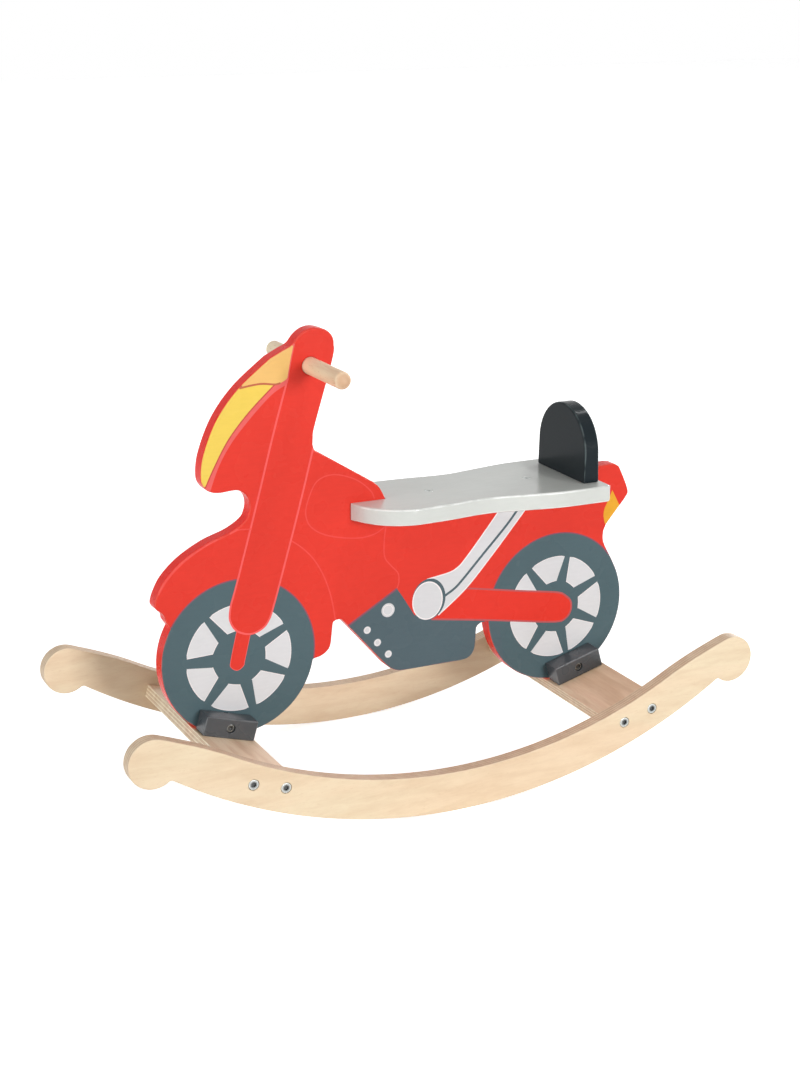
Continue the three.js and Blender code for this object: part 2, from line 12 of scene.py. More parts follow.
import bpy
import numpy as np
from mathutils import Matrix, Vector
from mathutils.geometry import delaunay_2d_cdt


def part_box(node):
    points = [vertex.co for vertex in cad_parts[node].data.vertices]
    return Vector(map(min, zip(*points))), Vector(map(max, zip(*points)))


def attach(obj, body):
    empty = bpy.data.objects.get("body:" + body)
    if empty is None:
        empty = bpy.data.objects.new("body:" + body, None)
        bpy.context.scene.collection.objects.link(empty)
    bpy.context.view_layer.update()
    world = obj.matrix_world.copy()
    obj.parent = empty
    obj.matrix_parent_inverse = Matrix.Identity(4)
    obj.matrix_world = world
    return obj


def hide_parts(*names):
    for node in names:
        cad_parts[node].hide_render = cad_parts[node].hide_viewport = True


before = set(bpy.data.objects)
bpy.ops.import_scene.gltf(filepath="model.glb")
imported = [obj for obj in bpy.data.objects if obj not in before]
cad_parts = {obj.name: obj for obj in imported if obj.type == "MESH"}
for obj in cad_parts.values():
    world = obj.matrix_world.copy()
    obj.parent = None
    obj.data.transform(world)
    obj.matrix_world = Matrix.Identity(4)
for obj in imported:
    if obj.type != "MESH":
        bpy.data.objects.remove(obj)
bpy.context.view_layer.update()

# %% [markdown]
# ## Sizes
# A maker works from a short list of driving sizes, and everything else follows from them. The
# ones that the frame can tell are read from it, so that the finished pieces can't drift away from
# the solids that they stand for.

# %% Sizes of the boards
body_low, body_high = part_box("body_board")
seat_low, seat_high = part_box("seat")
backrest_low, backrest_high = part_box("backrest")
rocker_low, rocker_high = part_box("left_rocker")

TOUCH_GAP = 0.0003
BOARD_THICKNESS = body_high.y - body_low.y
BODY_HEIGHT = body_high.z
SEAT_HEIGHT = seat_high.z
SEAT_THICKNESS = seat_high.z - seat_low.z
SEAT_FRONT, SEAT_REAR = seat_low.x, seat_high.x
SEAT_WIDTH = seat_high.y - seat_low.y
OVERALL_WIDTH = -2 * rocker_low.y
ROCKER_THICKNESS = rocker_high.y - rocker_low.y
WHEELBASE = 0.423
WHEEL_RADIUS = 0.095
WHEEL_FLAT_DEPTH = 0.004
print("board", round(BOARD_THICKNESS, 4), "seat height", round(SEAT_HEIGHT, 4))

# %% Sizes of the rockers and slats
OVERALL_LENGTH = 0.7998
ROCKER_RADIUS = 0.648
ROCKER_DEPTH = 0.048
BULB_RADIUS = 0.0285
BULB_INSET = 0.007
BULB_NOTCH_RADIUS = 0.005
BULB_START_DEGREES = 20
UPPER_ARC_END_DEGREES = 28
RUN_HANDLE_SHARE = 0.34
SLAT_TILT = math.radians(16)
SLAT_WIDTH = 0.072
SLAT_THICKNESS = 0.015
SLAT_RISE = 0.0272

# %% Places that follow from the sizes
SLAT_TOP = WHEEL_RADIUS - WHEEL_FLAT_DEPTH + TOUCH_GAP
SLAT_MIDDLE = SLAT_TOP + SLAT_THICKNESS / 2
AXLE_X = WHEELBASE / 2
SLAT_X = AXLE_X + SLAT_MIDDLE * math.sin(SLAT_TILT)
SLAT_HEIGHT = ROCKER_RADIUS - math.sqrt((ROCKER_RADIUS - SLAT_RISE) ** 2 - SLAT_X**2)
AXLE_HEIGHT = SLAT_HEIGHT + SLAT_MIDDLE * math.cos(SLAT_TILT)
INNER_Y = OVERALL_WIDTH / 2 - ROCKER_THICKNESS
ENDS = {"front": -1, "rear": 1}
FLANKS = {"left": -1, "right": 1}
slat_low, slat_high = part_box("front_slat")
print("axle height", round(AXLE_HEIGHT, 4), "slat", round(SLAT_HEIGHT, 4),
      "and in the frame", round((slat_low.z + slat_high.z) / 2, 4))

# %% [markdown]
# ## The camera
# The photograph was taken from the front left, a little above the toy. The camera stands where
# the perspective of the rockers and the seat puts it, and looks down by 17 degrees.

# %% The camera
CAMERA_PLACE = Vector((-0.9904, -2.0165, 0.9657))
CAMERA_TURN = math.radians(26.165)
CAMERA_DIP = math.radians(17.101)
CAMERA_ROLL = math.radians(0.148)
CAMERA_LENS = 65.10


def aim(turn, dip, roll):
    """Rotation of a camera that looks along +Y, turned to the right, dipped down and rolled."""
    level = Matrix.Rotation(math.radians(90), 3, "X")
    turned = Matrix.Rotation(-turn, 3, "Z") @ Matrix.Rotation(-dip, 3, "X")
    return turned @ level @ Matrix.Rotation(roll, 3, "Z")


def put(name, data):
    """A new object in the scene, at the origin."""
    made = bpy.data.objects.new(name, data)
    bpy.context.scene.collection.objects.link(made)
    return made


camera = put("camera", bpy.data.cameras.new("camera"))
camera.data.lens = CAMERA_LENS
camera.matrix_world = (Matrix.Translation(CAMERA_PLACE)
                       @ aim(CAMERA_TURN, CAMERA_DIP, CAMERA_ROLL).to_4x4())
bpy.context.scene.camera = camera
print("camera looks along", [round(x, 3) for x in -camera.matrix_world.col[2].to_3d()])

# %% [markdown]
# ## Outlines
# A sawn outline is drawn with two tools: a compass for round stretches, and a flexible strip of
# wood, bent through a few pins, for flowing ones. The strip's curve can be written as a cubic
# between each two pins, whose direction at a pin is the direction from the pin before to the pin
# after. It needs far fewer points than a polyline would.


# %% Compass and bent strip
BENT_STEPS = 8
SAME_POINT = 1e-5


def arc(centre, radius, start, end, step=3.0):
    """Points of an arc between two angles in degrees: centre plus radius times (cos, sin)."""
    count = max(1, round(abs(end - start) / step)) + 1
    turn = np.radians(np.linspace(start, end, count))
    return np.asarray(centre) + radius * np.column_stack((np.cos(turn), np.sin(turn)))


def bent(pins):
    """A curve through pins. From b to c, with a before and d after, the point at t is half of
    2b + (c - a) t + (2a - 5b + 4c - d) t^2 + (3b - a - 3c + d) t^3."""
    pins = np.asarray(pins, float)
    a, b = np.vstack((pins[:1], pins[:-2]))[:, None], pins[:-1, None]
    c, d = pins[1:, None], np.vstack((pins[2:], pins[-1:]))[:, None]
    t = (np.arange(BENT_STEPS) / BENT_STEPS)[None, :, None]
    curve = (2 * b + (c - a) * t + (2 * a - 5 * b + 4 * c - d) * t**2
             + (3 * b - a - 3 * c + d) * t**3)
    return np.vstack((curve.reshape(-1, 2) / 2, pins[-1:]))


def joined(*runs):
    """One closed loop made of runs of points, without a point that repeats the one before it."""
    points = np.vstack(runs)
    step = np.linalg.norm(points - np.roll(points, 1, axis=0), axis=1)
    return points[step > SAME_POINT]


# %% [markdown]
# ## Boards
# Almost every piece of the toy is a board: an outline, a thickness and an eased edge. Extruding a
# curve with a bevel makes that too, but it can't hold artwork. So a board here is a rim and two
# flat faces. The rim is a profile carried along the outline: a quarter circle, a straight wall and
# a quarter circle again. The outline's corners are rounded with a radius that shrinks as the
# profile moves in, as it does under a router. Each face is filled with triangles whose edges
# follow every painted line, so that paint can change colour exactly there.

# %% An outline moved inwards
CORNER_DEGREES = 16
CORNER_STEPS = 5
SHARPEST_MITRE = 0.4
CORNER_EDGE_SHARE = 0.45
SMALLEST_CORNER = 0.0001


def edge_normals(loop):
    """Outward normals of the edges before and after each point of a loop that runs
    counter-clockwise: an edge's direction turned clockwise by a quarter."""
    along = np.roll(loop, -1, axis=0) - loop
    along /= np.linalg.norm(along, axis=1)[:, None]
    after = np.column_stack((along[:, 1], -along[:, 0]))
    return np.roll(after, 1, axis=0), after


def moved_in(loop, inset, corner_radius):
    """The loop moved inwards, as points, outward normals and the numbers of the points they come
    from. A corner is a quadratic curve from before the moved corner to after it: (1-t)^2 of the
    first, 2t(1-t) of the corner and t^2 of the last."""
    before, after = edge_normals(loop)
    cosine = (before * after).sum(axis=1)
    turn = np.arctan2(before[:, 0] * after[:, 1] - before[:, 1] * after[:, 0], cosine)
    mitre = np.maximum(1 + cosine, SHARPEST_MITRE)[:, None]
    moved = loop - inset[:, None] * (before + after) / mitre
    to_next = np.linalg.norm(np.roll(moved, -1, axis=0) - moved, axis=1)
    room = CORNER_EDGE_SHARE * np.minimum(to_next, np.roll(to_next, 1))
    radius = np.maximum(corner_radius - np.sign(turn) * inset, SMALLEST_CORNER)
    reach = np.minimum(radius * np.tan(np.abs(turn) / 2), room)[:, None, None]
    t = np.linspace(0, 1, CORNER_STEPS)[None, :, None]
    ahead = np.column_stack((-after[:, 1], after[:, 0]))[:, None]
    behind = np.column_stack((-before[:, 1], before[:, 0]))[:, None]
    curve = moved[:, None] - (1 - t) ** 2 * reach * behind + t**2 * reach * ahead
    normal = (1 - t) * before[:, None] + t * after[:, None]
    smooth = np.abs(turn) < math.radians(CORNER_DEGREES)
    curve[smooth] = moved[smooth, None]
    normal[smooth] = (before + after)[smooth, None]
    kept = np.ones(curve.shape[:2], bool)
    kept[smooth, 1:] = False
    normal = normal[kept] / np.linalg.norm(normal[kept], axis=1)[:, None]
    return curve[kept], normal, np.nonzero(kept)[0]


# %% The rim of a board
ROUND_STEPS = 6


def rim(loop, thickness, ease, corner_radius):
    """Rows of points (u, v, w) and normals round a board, from its near face at w = -thickness/2
    to its far face. On the near quarter circle, at an angle q from 0 to 90 degrees, the outline
    is moved in by ease (1 - sin q), at a depth of ease (1 - cos q), and the normal is sin q of
    the outline's normal and -cos q of w. The far half mirrors it."""
    ease = np.broadcast_to(ease, len(loop))
    points, normals = [], []
    for q in np.radians(np.linspace(0, 90, ROUND_STEPS)):
        flat, outward, source = moved_in(loop, ease * (1 - math.sin(q)), corner_radius)
        depth = ease[source] * (1 - math.cos(q)) - thickness / 2
        points.append(np.column_stack((flat, depth)))
        normals.append(np.column_stack((outward * math.sin(q), np.full(len(flat), -math.cos(q)))))
    mirror = np.array((1, 1, -1))
    points += [row * mirror for row in reversed(points)]
    normals += [row * mirror for row in reversed(normals)]
    return np.array(points), np.array(normals)


# %% [markdown]
# A flat face may have holes through it, wells sunk into it and paint on it. Blender's constrained
# Delaunay triangulation takes all those lines at once, cuts them where they cross, and says which
# line each edge lies on. Where a painted line runs off the face, the rim gets a point there too,
# so that the board stays one closed skin.


# %% Fill a flat face
CUT_TOLERANCE = 1e-7
KEY_MARGIN = 0.001


def inside(points, loop):
    """True for each point inside the loop: a ray to the right crosses it an odd number of times."""
    a, b = loop[None], np.roll(loop, -1, axis=0)[None]
    x, y = points[:, 0, None], points[:, 1, None]
    spans = (a[..., 1] > y) != (b[..., 1] > y)
    rise = np.where(b[..., 1] == a[..., 1], 1, b[..., 1] - a[..., 1])
    crossing = a[..., 0] + (y - a[..., 1]) / rise * (b[..., 0] - a[..., 0])
    return (spans & (x < crossing)).sum(axis=1) % 2 == 1


def painted(points, paints):
    """The number of the last paint laid over each point, or 0."""
    paint = np.zeros(len(points), int)
    for loop, number in paints:
        paint[inside(points, loop)] = number
    return paint


def filled(loops, paints=()):
    """Triangles inside loops[0] and outside the other loops, cut along the painted loops too.
    Returns the points, the triangles, a key for each point and the paint on each triangle. The
    key is -1, or the number of the loop point that it is, plus the share of the way to the next
    one where a painted line cuts the loop's edge."""
    lines = list(loops) + [loop for loop, _ in paints]
    given = np.vstack(lines)
    starts = np.cumsum([0] + [len(line) for line in lines])
    edges = np.vstack([
        np.column_stack((np.arange(n), np.roll(np.arange(n), -1))) + start
        for n, start in zip(map(len, lines), starts)
    ])
    made = delaunay_2d_cdt([Vector(p) for p in given.tolist()], edges.tolist(), [], 0,
                           CUT_TOLERANCE, True)
    points = np.array([tuple(p) for p in made[0]])
    owner = np.array([min(ids, default=-1) for ids in made[3]])
    held = starts[len(loops)]
    key = np.where((owner >= 0) & (owner < held), owner, -1.0)
    on_loop = [(edge, min(ids)) for edge, ids in zip(made[1], made[4]) if ids and min(ids) < held]
    pairs = np.array([(v, line) for edge, line in on_loop for v in edge if key[v] < 0], int)
    if len(pairs):
        v, line = pairs.T
        start, end = given[line], given[edges[line, 1]]
        share = np.linalg.norm(points[v] - start, axis=1) / np.linalg.norm(end - start, axis=1)
        key[v] = line + np.clip(share, KEY_MARGIN, 1 - KEY_MARGIN)
    triangles = np.array(made[2])
    middles = points[triangles].mean(axis=1)
    keep = inside(middles, loops[0])
    for hole in loops[1:]:
        keep &= ~inside(middles, hole)
    return points, triangles[keep], key, painted(middles[keep], paints)


# %% [markdown]
# ## Turned pieces
# Bolts, screws, nuts and the dowel are turned: a profile of radius against distance goes round an
# axis. So is a well, whose profile runs from the middle of its floor up to the face. A socket in
# a bolt's head isn't round, but it is a radius that changes with the angle, so the same surface
# makes it: six flats for a hexagon, two crossed slots for a screw.

# %% Socket shapes, as the share of the full radius at each angle
ALMOST_ZERO = 1e-6
TURN_STEPS = 48
CROSS_WIDTH_SHARE = 0.24
SLOT_WIDTH_SHARE = 0.17


def hexagon(turn):
    """A hexagon's radius is its half width across flats over the cosine of the angle to the
    nearest flat's middle."""
    folded = (turn + math.pi / 6) % (math.pi / 3) - math.pi / 6
    return math.cos(math.pi / 6) / np.cos(folded - np.sign(folded) * math.pi / 6)


def cross(turn):
    """Two crossed slots: the nearer of a slot's end and its side."""
    folded = np.abs((turn + math.pi / 4) % (math.pi / 2) - math.pi / 4)
    side = CROSS_WIDTH_SHARE / np.maximum(np.sin(folded), ALMOST_ZERO)
    return np.minimum(1 / np.cos(folded), side)


def slot(turn):
    """One slot: the nearer of its round end and its side."""
    return np.minimum(1, SLOT_WIDTH_SHARE / np.maximum(np.abs(np.sin(turn)), ALMOST_ZERO))


def socket_turns(shape):
    """The angles of the columns, with the socket's own corners among them."""
    turns = np.linspace(0, 2 * math.pi, TURN_STEPS, endpoint=False)
    if shape is cross:
        corner = math.atan(CROSS_WIDTH_SHARE)
        quarters = np.arange(4)[:, None] * math.pi / 2
        turns = np.append(turns, quarters + [corner, math.pi / 4, math.pi / 2 - corner])
    if shape is slot:
        corner = math.asin(SLOT_WIDTH_SHARE)
        turns = np.append(turns, [corner, math.pi - corner, math.pi + corner, -corner])
    return np.unique(np.round(turns % (2 * math.pi), 6))


# %% A turned surface
TURNED_EASE = 0.0002


def eased_profile(profile):
    """Rounds a profile's corners with quadratic curves. A row is (radius, distance, how much of
    the socket's shape it has), and each row gets its normal in the plane of the profile."""
    rows = np.array([tuple(row) + (0,) * (3 - len(row)) for row in profile], float)
    step = rows[1:] - rows[:-1]
    length = np.linalg.norm(step[:, :2], axis=1)[:, None]
    ahead = step / length
    before, after = ahead[:-1, None], ahead[1:, None]
    room = CORNER_EDGE_SHARE * np.minimum(length[:-1], length[1:])
    cut = np.minimum(TURNED_EASE, room)[:, None]
    t = np.linspace(0, 1, CORNER_STEPS)[None, :, None]
    curve = rows[1:-1, None] - (1 - t) ** 2 * cut * before + t**2 * cut * after
    along = (1 - t) * before + t * after
    points = np.vstack((rows[:1], curve.reshape(-1, 3), rows[-1:]))
    along = np.vstack((ahead[:1], along.reshape(-1, 3), ahead[-1:]))[:, :2]
    along /= np.linalg.norm(along, axis=1)[:, None]
    return points, np.column_stack((along[:, 1], -along[:, 0]))


def turned(profile, start, side_a, side_b, shape=None):
    """A profile turned round an axis: start + r cos(a) A + r sin(a) B + d (A x B). Returns the
    points and normals in rows, and the faces, with one point where the profile meets the axis."""
    rows, flat = eased_profile(profile)
    start, side_a, side_b = (np.asarray(x, float) for x in (start, side_a, side_b))
    axis = np.cross(side_a, side_b)
    turns = socket_turns(shape)
    ray = np.cos(turns)[:, None] * side_a + np.sin(turns)[:, None] * side_b
    share = shape(turns) if shape else np.ones(len(turns))
    radius = rows[:, 0, None] * (1 + rows[:, 2, None] * (share - 1))
    points = start + radius[..., None] * ray + rows[:, 1, None, None] * axis
    normals = flat[:, 0, None, None] * ray + flat[:, 1, None, None] * axis
    number = np.arange(radius.size).reshape(radius.shape)
    on_axis = rows[:, 0] < ALMOST_ZERO
    number[on_axis] = number[on_axis, :1]
    beside = np.roll(number, -1, axis=1)
    quads = np.stack((number[:-1], beside[:-1], beside[1:], number[1:]), axis=-1).reshape(-1, 4)
    return points, normals, quads


# %% [markdown]
# ## From arrays to a piece
# The arrays go into a mesh in one call. A rounded edge looks right only if the light sees the
# exact normals of the formula, not an average of the faces that meet there, so the boards hand
# theirs to Blender as custom normals. Attributes ride on the mesh for the finishes: the paint's
# colour, how deep in the board each point lies, how much of a wall it is, or how far in a socket.


# %% Make a mesh
SHARP_DEGREES = 32


def polygons(quads):
    """Faces as lists, where a quad with two corners in one point becomes a triangle."""
    return [list(dict.fromkeys(face)) for face in np.asarray(quads).tolist()]


def make_piece(solid, finish, points, faces, marks, normals=None, colours=None):
    """A finished piece that stands for a CAD node, with its points in the frame's own axes. It
    has the node's name with the finish after it."""
    used, packed = np.unique(np.concatenate(faces), return_inverse=True)
    sizes = [len(face) for face in faces]
    corners = [face.tolist() for face in np.split(packed, np.cumsum(sizes)[:-1])]
    mesh = bpy.data.meshes.new(f"{solid}_{finish}")
    mesh.from_pydata(points[used].tolist(), [], corners)
    mesh.polygons.foreach_set("use_smooth", np.ones(len(faces), bool))
    if normals is None:
        mesh.set_sharp_from_angle(angle=math.radians(SHARP_DEGREES))
    else:
        mesh.normals_split_custom_set_from_vertices(normals[used].tolist())
    if colours is not None:
        paint = mesh.attributes.new("paint", "FLOAT_COLOR", "CORNER")
        paint.data.foreach_set("color", np.repeat(colours, sizes, axis=0).ravel())
    for mark, values in marks.items():
        mesh.attributes.new(mark, "FLOAT", "POINT").data.foreach_set("value", values[used])
    piece = put(mesh.name, mesh)
    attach(piece, "root")
    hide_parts(solid)
    edge_numbers = np.empty(len(mesh.loops), np.int32)
    mesh.loops.foreach_get("edge_index", edge_numbers)
    open_edges = (np.bincount(edge_numbers, minlength=len(mesh.edges)) != 2).sum()
    print(piece.name, len(mesh.polygons), "faces,", open_edges, "open edges")
    return piece


# %% [markdown]
# ## Putting a board together
# A board's skin grows in three steps: its rims, round the outline and round each hole; the turned
# surfaces sunk into it; and the two flat faces, which use the numbers of the rim's and the wells'
# points where they meet them. Nothing is doubled, so nothing has to be merged afterwards.


# %% A growing skin
class Skin:
    """Points with normals, faces, and the number of the paint on each face."""

    def __init__(self):
        self.points, self.normals = np.empty((0, 3)), np.empty((0, 3))
        self.faces, self.paint = [], []

    def add_points(self, points, normals):
        """Adds rows of points and returns their numbers, in the same rows."""
        numbers = np.arange(points.size // 3).reshape(points.shape[:-1]) + len(self.points)
        self.points = np.vstack((self.points, points.reshape(-1, 3)))
        self.normals = np.vstack((self.normals, normals.reshape(-1, 3)))
        return numbers

    def add_faces(self, quads, paint=0):
        self.faces += polygons(quads)
        self.paint += np.broadcast_to(paint, len(quads)).tolist()


# %% Lay a rim
PRINTED_STEPS = 3


def lay_rim(skin, rim_rows, keys, start, paints):
    """A rim, with a column at each key: a loop point, or a place on the way to the next one. The
    print of the face runs on over the first steps of the eased edge. Returns the numbers of the
    points in its near and its far edge, by key."""
    first = keys.astype(int) - start
    second = (first + 1) % rim_rows[0].shape[1]
    share = (keys - start - first)[None, :, None]
    rows, normals = (r[:, first] * (1 - share) + r[:, second] * share for r in rim_rows)
    numbers = skin.add_points(rows, normals)
    beside = np.roll(numbers, -1, axis=1)
    quads = np.stack((numbers[:-1], numbers[1:], beside[1:], beside[:-1]), axis=-1)
    edge = rows[0, :, :2]
    paint = np.zeros(quads.shape[:2], int)
    paint[:PRINTED_STEPS] = painted((edge + np.roll(edge, -1, axis=0)) / 2, paints)
    paint[-PRINTED_STEPS:] = paint[0]
    skin.add_faces(quads.reshape(-1, 4), paint.ravel())
    return {side: dict(zip(keys.tolist(), numbers[row].tolist()))
            for side, row in ((-1, 0), (1, -1))}


# %% Sink a hole
def sink(thickness, side, centre, profile):
    """A turned surface in the face on that side: -1 is near, 1 is far. Its last row is its mouth
    there, and if it goes right through, its first row is its mouth in the other face."""
    across = ((1, 0, 0), (0, 1, 0)) if side < 0 else ((0, 1, 0), (1, 0, 0))
    rows, normals, quads = turned(profile, (*centre, side * thickness / 2), *across)
    mouths = {side: -1} if profile[0][0] == 0 else {side: -1, -side: 0}
    return rows, normals, quads[:, ::-1], mouths


def lay_sunk(skin, surface, starts, numbers):
    """A sunk surface, whose mouths have the next keys of their faces."""
    rows, normals, quads, mouths = surface
    numbered = skin.add_points(rows, normals)
    skin.add_faces(numbered.ravel()[quads])
    for side, row in mouths.items():
        keys = np.arange(rows.shape[1]) + starts[side]
        numbers[side].update(zip(keys.tolist(), numbered[row].tolist()))
        starts[side] += rows.shape[1]


# %% Lay a flat face
def lay_face(skin, side, depth, numbers, face):
    """A flat face at a depth, with new points only where no rim or mouth has one."""
    flat, triangles, key, paint = face
    given = np.array([numbers.get(k, -1) for k in key.tolist()])
    new = given < 0
    points = np.column_stack((flat[new], np.full(new.sum(), depth)))
    given[new] = skin.add_points(points, np.tile((0.0, 0.0, side), (len(points), 1)))
    skin.add_faces(given[triangles if side < 0 else triangles[:, ::-1]], paint)


# %% Make a board
CORNER_RADIUS = 0.002


def board_skin(thickness, rims, surfaces, paints):
    """Both faces are filled first, because a painted line may cut the rim between two points."""
    edges = [rows[0][:, :2] for rows, _ in rims]
    starts = np.cumsum([0] + [len(edge) for edge in edges])
    fills = {}
    for side in (-1, 1):
        mouths = [rows[at[side]][:, :2] for rows, _, _, at in surfaces if side in at]
        fills[side] = filled(edges + mouths, paints)
    skin, numbers = Skin(), {-1: {}, 1: {}}
    key = fills[-1][2]
    for start, end, rim_rows in zip(starts, starts[1:], rims):
        keys = np.unique(key[(key >= start) & (key < end)])
        for side, laid in lay_rim(skin, rim_rows, keys, start, paints).items():
            numbers[side].update(laid)
    next_key = {-1: float(starts[-1]), 1: float(starts[-1])}
    for surface in surfaces:
        lay_sunk(skin, surface, next_key, numbers)
    for side in (-1, 1):
        lay_face(skin, side, side * thickness / 2, numbers[side], fills[side])
    return skin


def make_board(solid, finish, loop, thickness, ease, place, corner_radius=CORNER_RADIUS,
               holes=(), sunk=(), paints=(), palette=None):
    """A board in its own axes (u, v, w), put in its place by a function of points. A hole is a
    loop that runs clockwise, with its ease; what is sunk is a side, a centre and a profile."""
    rims = [rim(loop, thickness, ease, corner_radius)]
    rims += [rim(hole, thickness, hole_ease, corner_radius) for hole, hole_ease in holes]
    skin = board_skin(thickness, rims, [sink(thickness, *what) for what in sunk], paints)
    marks = {"depth": skin.points[:, 2] / thickness + 0.5, "wall": 1 - np.abs(skin.normals[:, 2])}
    normals = place(skin.normals) - place(np.zeros((1, 3)))
    colours = None if palette is None else np.array(palette)[skin.paint]
    return make_piece(solid, finish, place(skin.points), skin.faces, marks, normals, colours)


# %% [markdown]
# ## Paint and light on numbers
# Paint colours are read off the photograph as the usual 0 to 255 values, while shaders work with
# the amount of light. The usual curve turns one into the other.


# %% Colours
def colour(red, green, blue):
    """Light values of a colour given in 0 to 255, with a 1 for solid after them. A share c of
    full is a light of ((c + 0.055) / 1.055) ^ 2.4, or of c / 12.92 where it is dark."""
    share = np.array((red, green, blue)) / 255
    light = np.where(share <= 0.04045, share / 12.92, ((share + 0.055) / 1.055) ** 2.4)
    return (*light.tolist(), 1.0)


PAINTS = {name: colour(*value) for name, value in {
    "rim": (252, 38, 24), "red": (225, 60, 48), "scarlet": (228, 58, 46), "pink": (243, 98, 96),
    "band": (230, 101, 99), "peach": (234, 188, 114), "yellow": (236, 204, 92),
    "brown": (192, 104, 76), "rose": (196, 74, 66), "coral": (234, 80, 74), "mauve": (192, 88, 90),
    "tyre": (82, 102, 108), "plum": (142, 84, 100), "silver": (217, 217, 219),
    "outline": (246, 238, 238), "slate": (84, 101, 108), "amber": (232, 168, 52),
}.items()}
PAINT_NUMBER = {name: i for i, name in enumerate(PAINTS)}
print(len(PAINTS), "paints")

# %% [markdown]
# ## The outline of the motorcycle
# The body board is one sawn shape: two wheels, an engine between them, a tail, a tank with a bed
# cut out for the seat, and a head with a fairing. The compass draws the wheels and the bent strip
# draws the rest. Pins near a wheel are shares of the wheel's radius, and the others are shares of
# the wheelbase and of the heights between which they lie, as in the CAD.

# %% Pins of the outline
LOBE_SHARES = [(1.082, -0.164), (1.162, -0.119), (1.223, -0.032), (1.255, 0.221),
               (1.276, 0.268), (1.331, 0.283), (1.385, 0.266), (1.448, 0.197)]
TAIL_ROOT_SHARES = [(0.85, 0.535), (0.732, 0.753), (0.707, 0.853), (0.714, 0.948)]
FENDER_SHARES = [(-0.079, 1.596), (-0.382, 1.492), (-0.684, 1.326), (-0.901, 1.132),
                 (-1.006, 0.963), (-1.053, 0.821), (-1.027, 0.755), (-0.969, 0.705),
                 (-0.933, 0.653), (-0.92, 0.589), (-0.874, 0.511)]
ENGINE_NOSE_SHARES = [(0.447, -0.792), (0.464, -0.91), (0.488, -0.988), (0.514, -1)]
ENGINE_HEEL_SHARES = [(-1.27, -1), (-0.6, -0.963), (-0.18, -0.835), (-0.01, -0.639),
                      (0.04, -0.285), (0.14, -0.187), (0.44, -0.12)]
TAIL_SHARES = [(0.541, -1.068), (0.811, -0.752), (0.947, -0.591), (0.994, -0.447),
               (0.826, -0.053), (0.742, 0.061), (0.606, 0.1), (0.314, 0.095)]
TANK_SHARES = [(0.435, 0.04), (0.425, 0.072), (0.408, 0.104)]
TANK_TOP_SHARES = [(0.248, 0.305), (0.233, 0.323), (0.227, 0.357)]
HEAD_SHARES = [(0.228, 0.4), (0.235, 0.471), (0.287, 0.814), (0.292, 0.9), (0.288, 0.942),
               (0.273, 0.977), (0.251, 0.9945), (0.231, 0.9994), (0.208, 0.988), (0.187, 0.958),
               (0.169, 0.916), (0.145, 0.893)]
FAIRING_SHARES = [(0.105, 0.864), (0.014, 0.728), (-0.049, 0.581), (-0.088, 0.413),
                  (-0.097, 0.3), (-0.088, 0.246), (-0.07, 0.219), (-0.044, 0.209), (0, 0.213),
                  (0.021, 0.199), (0.035, 0.17), (0.041, 0.132), (0.038, 0.088), (0.025, 0.046)]
HANDLEBAR_PLACE_SHARES = (0.222, 0.795)

# %% The outline of the motorcycle
ENGINE_DEPTH = 0.051
ENGINE_GAP = 0.017
ENGINE_ROOF = 0.006
FRONT_WHEEL_START, FRONT_WHEEL_END, REAR_WHEEL_END = -210, -10.5, 28
FENDER_HEIGHT = 0.057
TAIL_LENGTH = 0.066
FENDER_TOP = AXLE_HEIGHT + WHEEL_RADIUS + FENDER_HEIGHT
SEAT_BED = SEAT_HEIGHT - SEAT_THICKNESS - TOUCH_GAP
SEAT_SLOT_DEPTH = 0.047
TANK_REAR = SEAT_FRONT + SEAT_SLOT_DEPTH - TOUCH_GAP


def laid_out(shares, origin_x, scale_x, origin_z, scale_z):
    """Shares times two scales, from an origin."""
    return np.array((origin_x, origin_z)) + np.array(shares) * (scale_x, scale_z)


def near_wheel(side, shares):
    return laid_out(shares, side * AXLE_X, WHEEL_RADIUS, AXLE_HEIGHT, WHEEL_RADIUS)


def above_seat(shares):
    return laid_out(shares, -AXLE_X, WHEELBASE, SEAT_HEIGHT, BODY_HEIGHT - SEAT_HEIGHT)


def wheel_arc(side, start, end):
    """The wheel's circle, with a flat at the foot where it stands on its slat."""
    centre = (side * AXLE_X, AXLE_HEIGHT)
    foot = side * math.degrees(SLAT_TILT) - 90
    half = math.degrees(math.acos(1 - WHEEL_FLAT_DEPTH / WHEEL_RADIUS))
    return np.vstack((arc(centre, WHEEL_RADIUS, start, foot - half),
                      arc(centre, WHEEL_RADIUS, foot + half, end)))


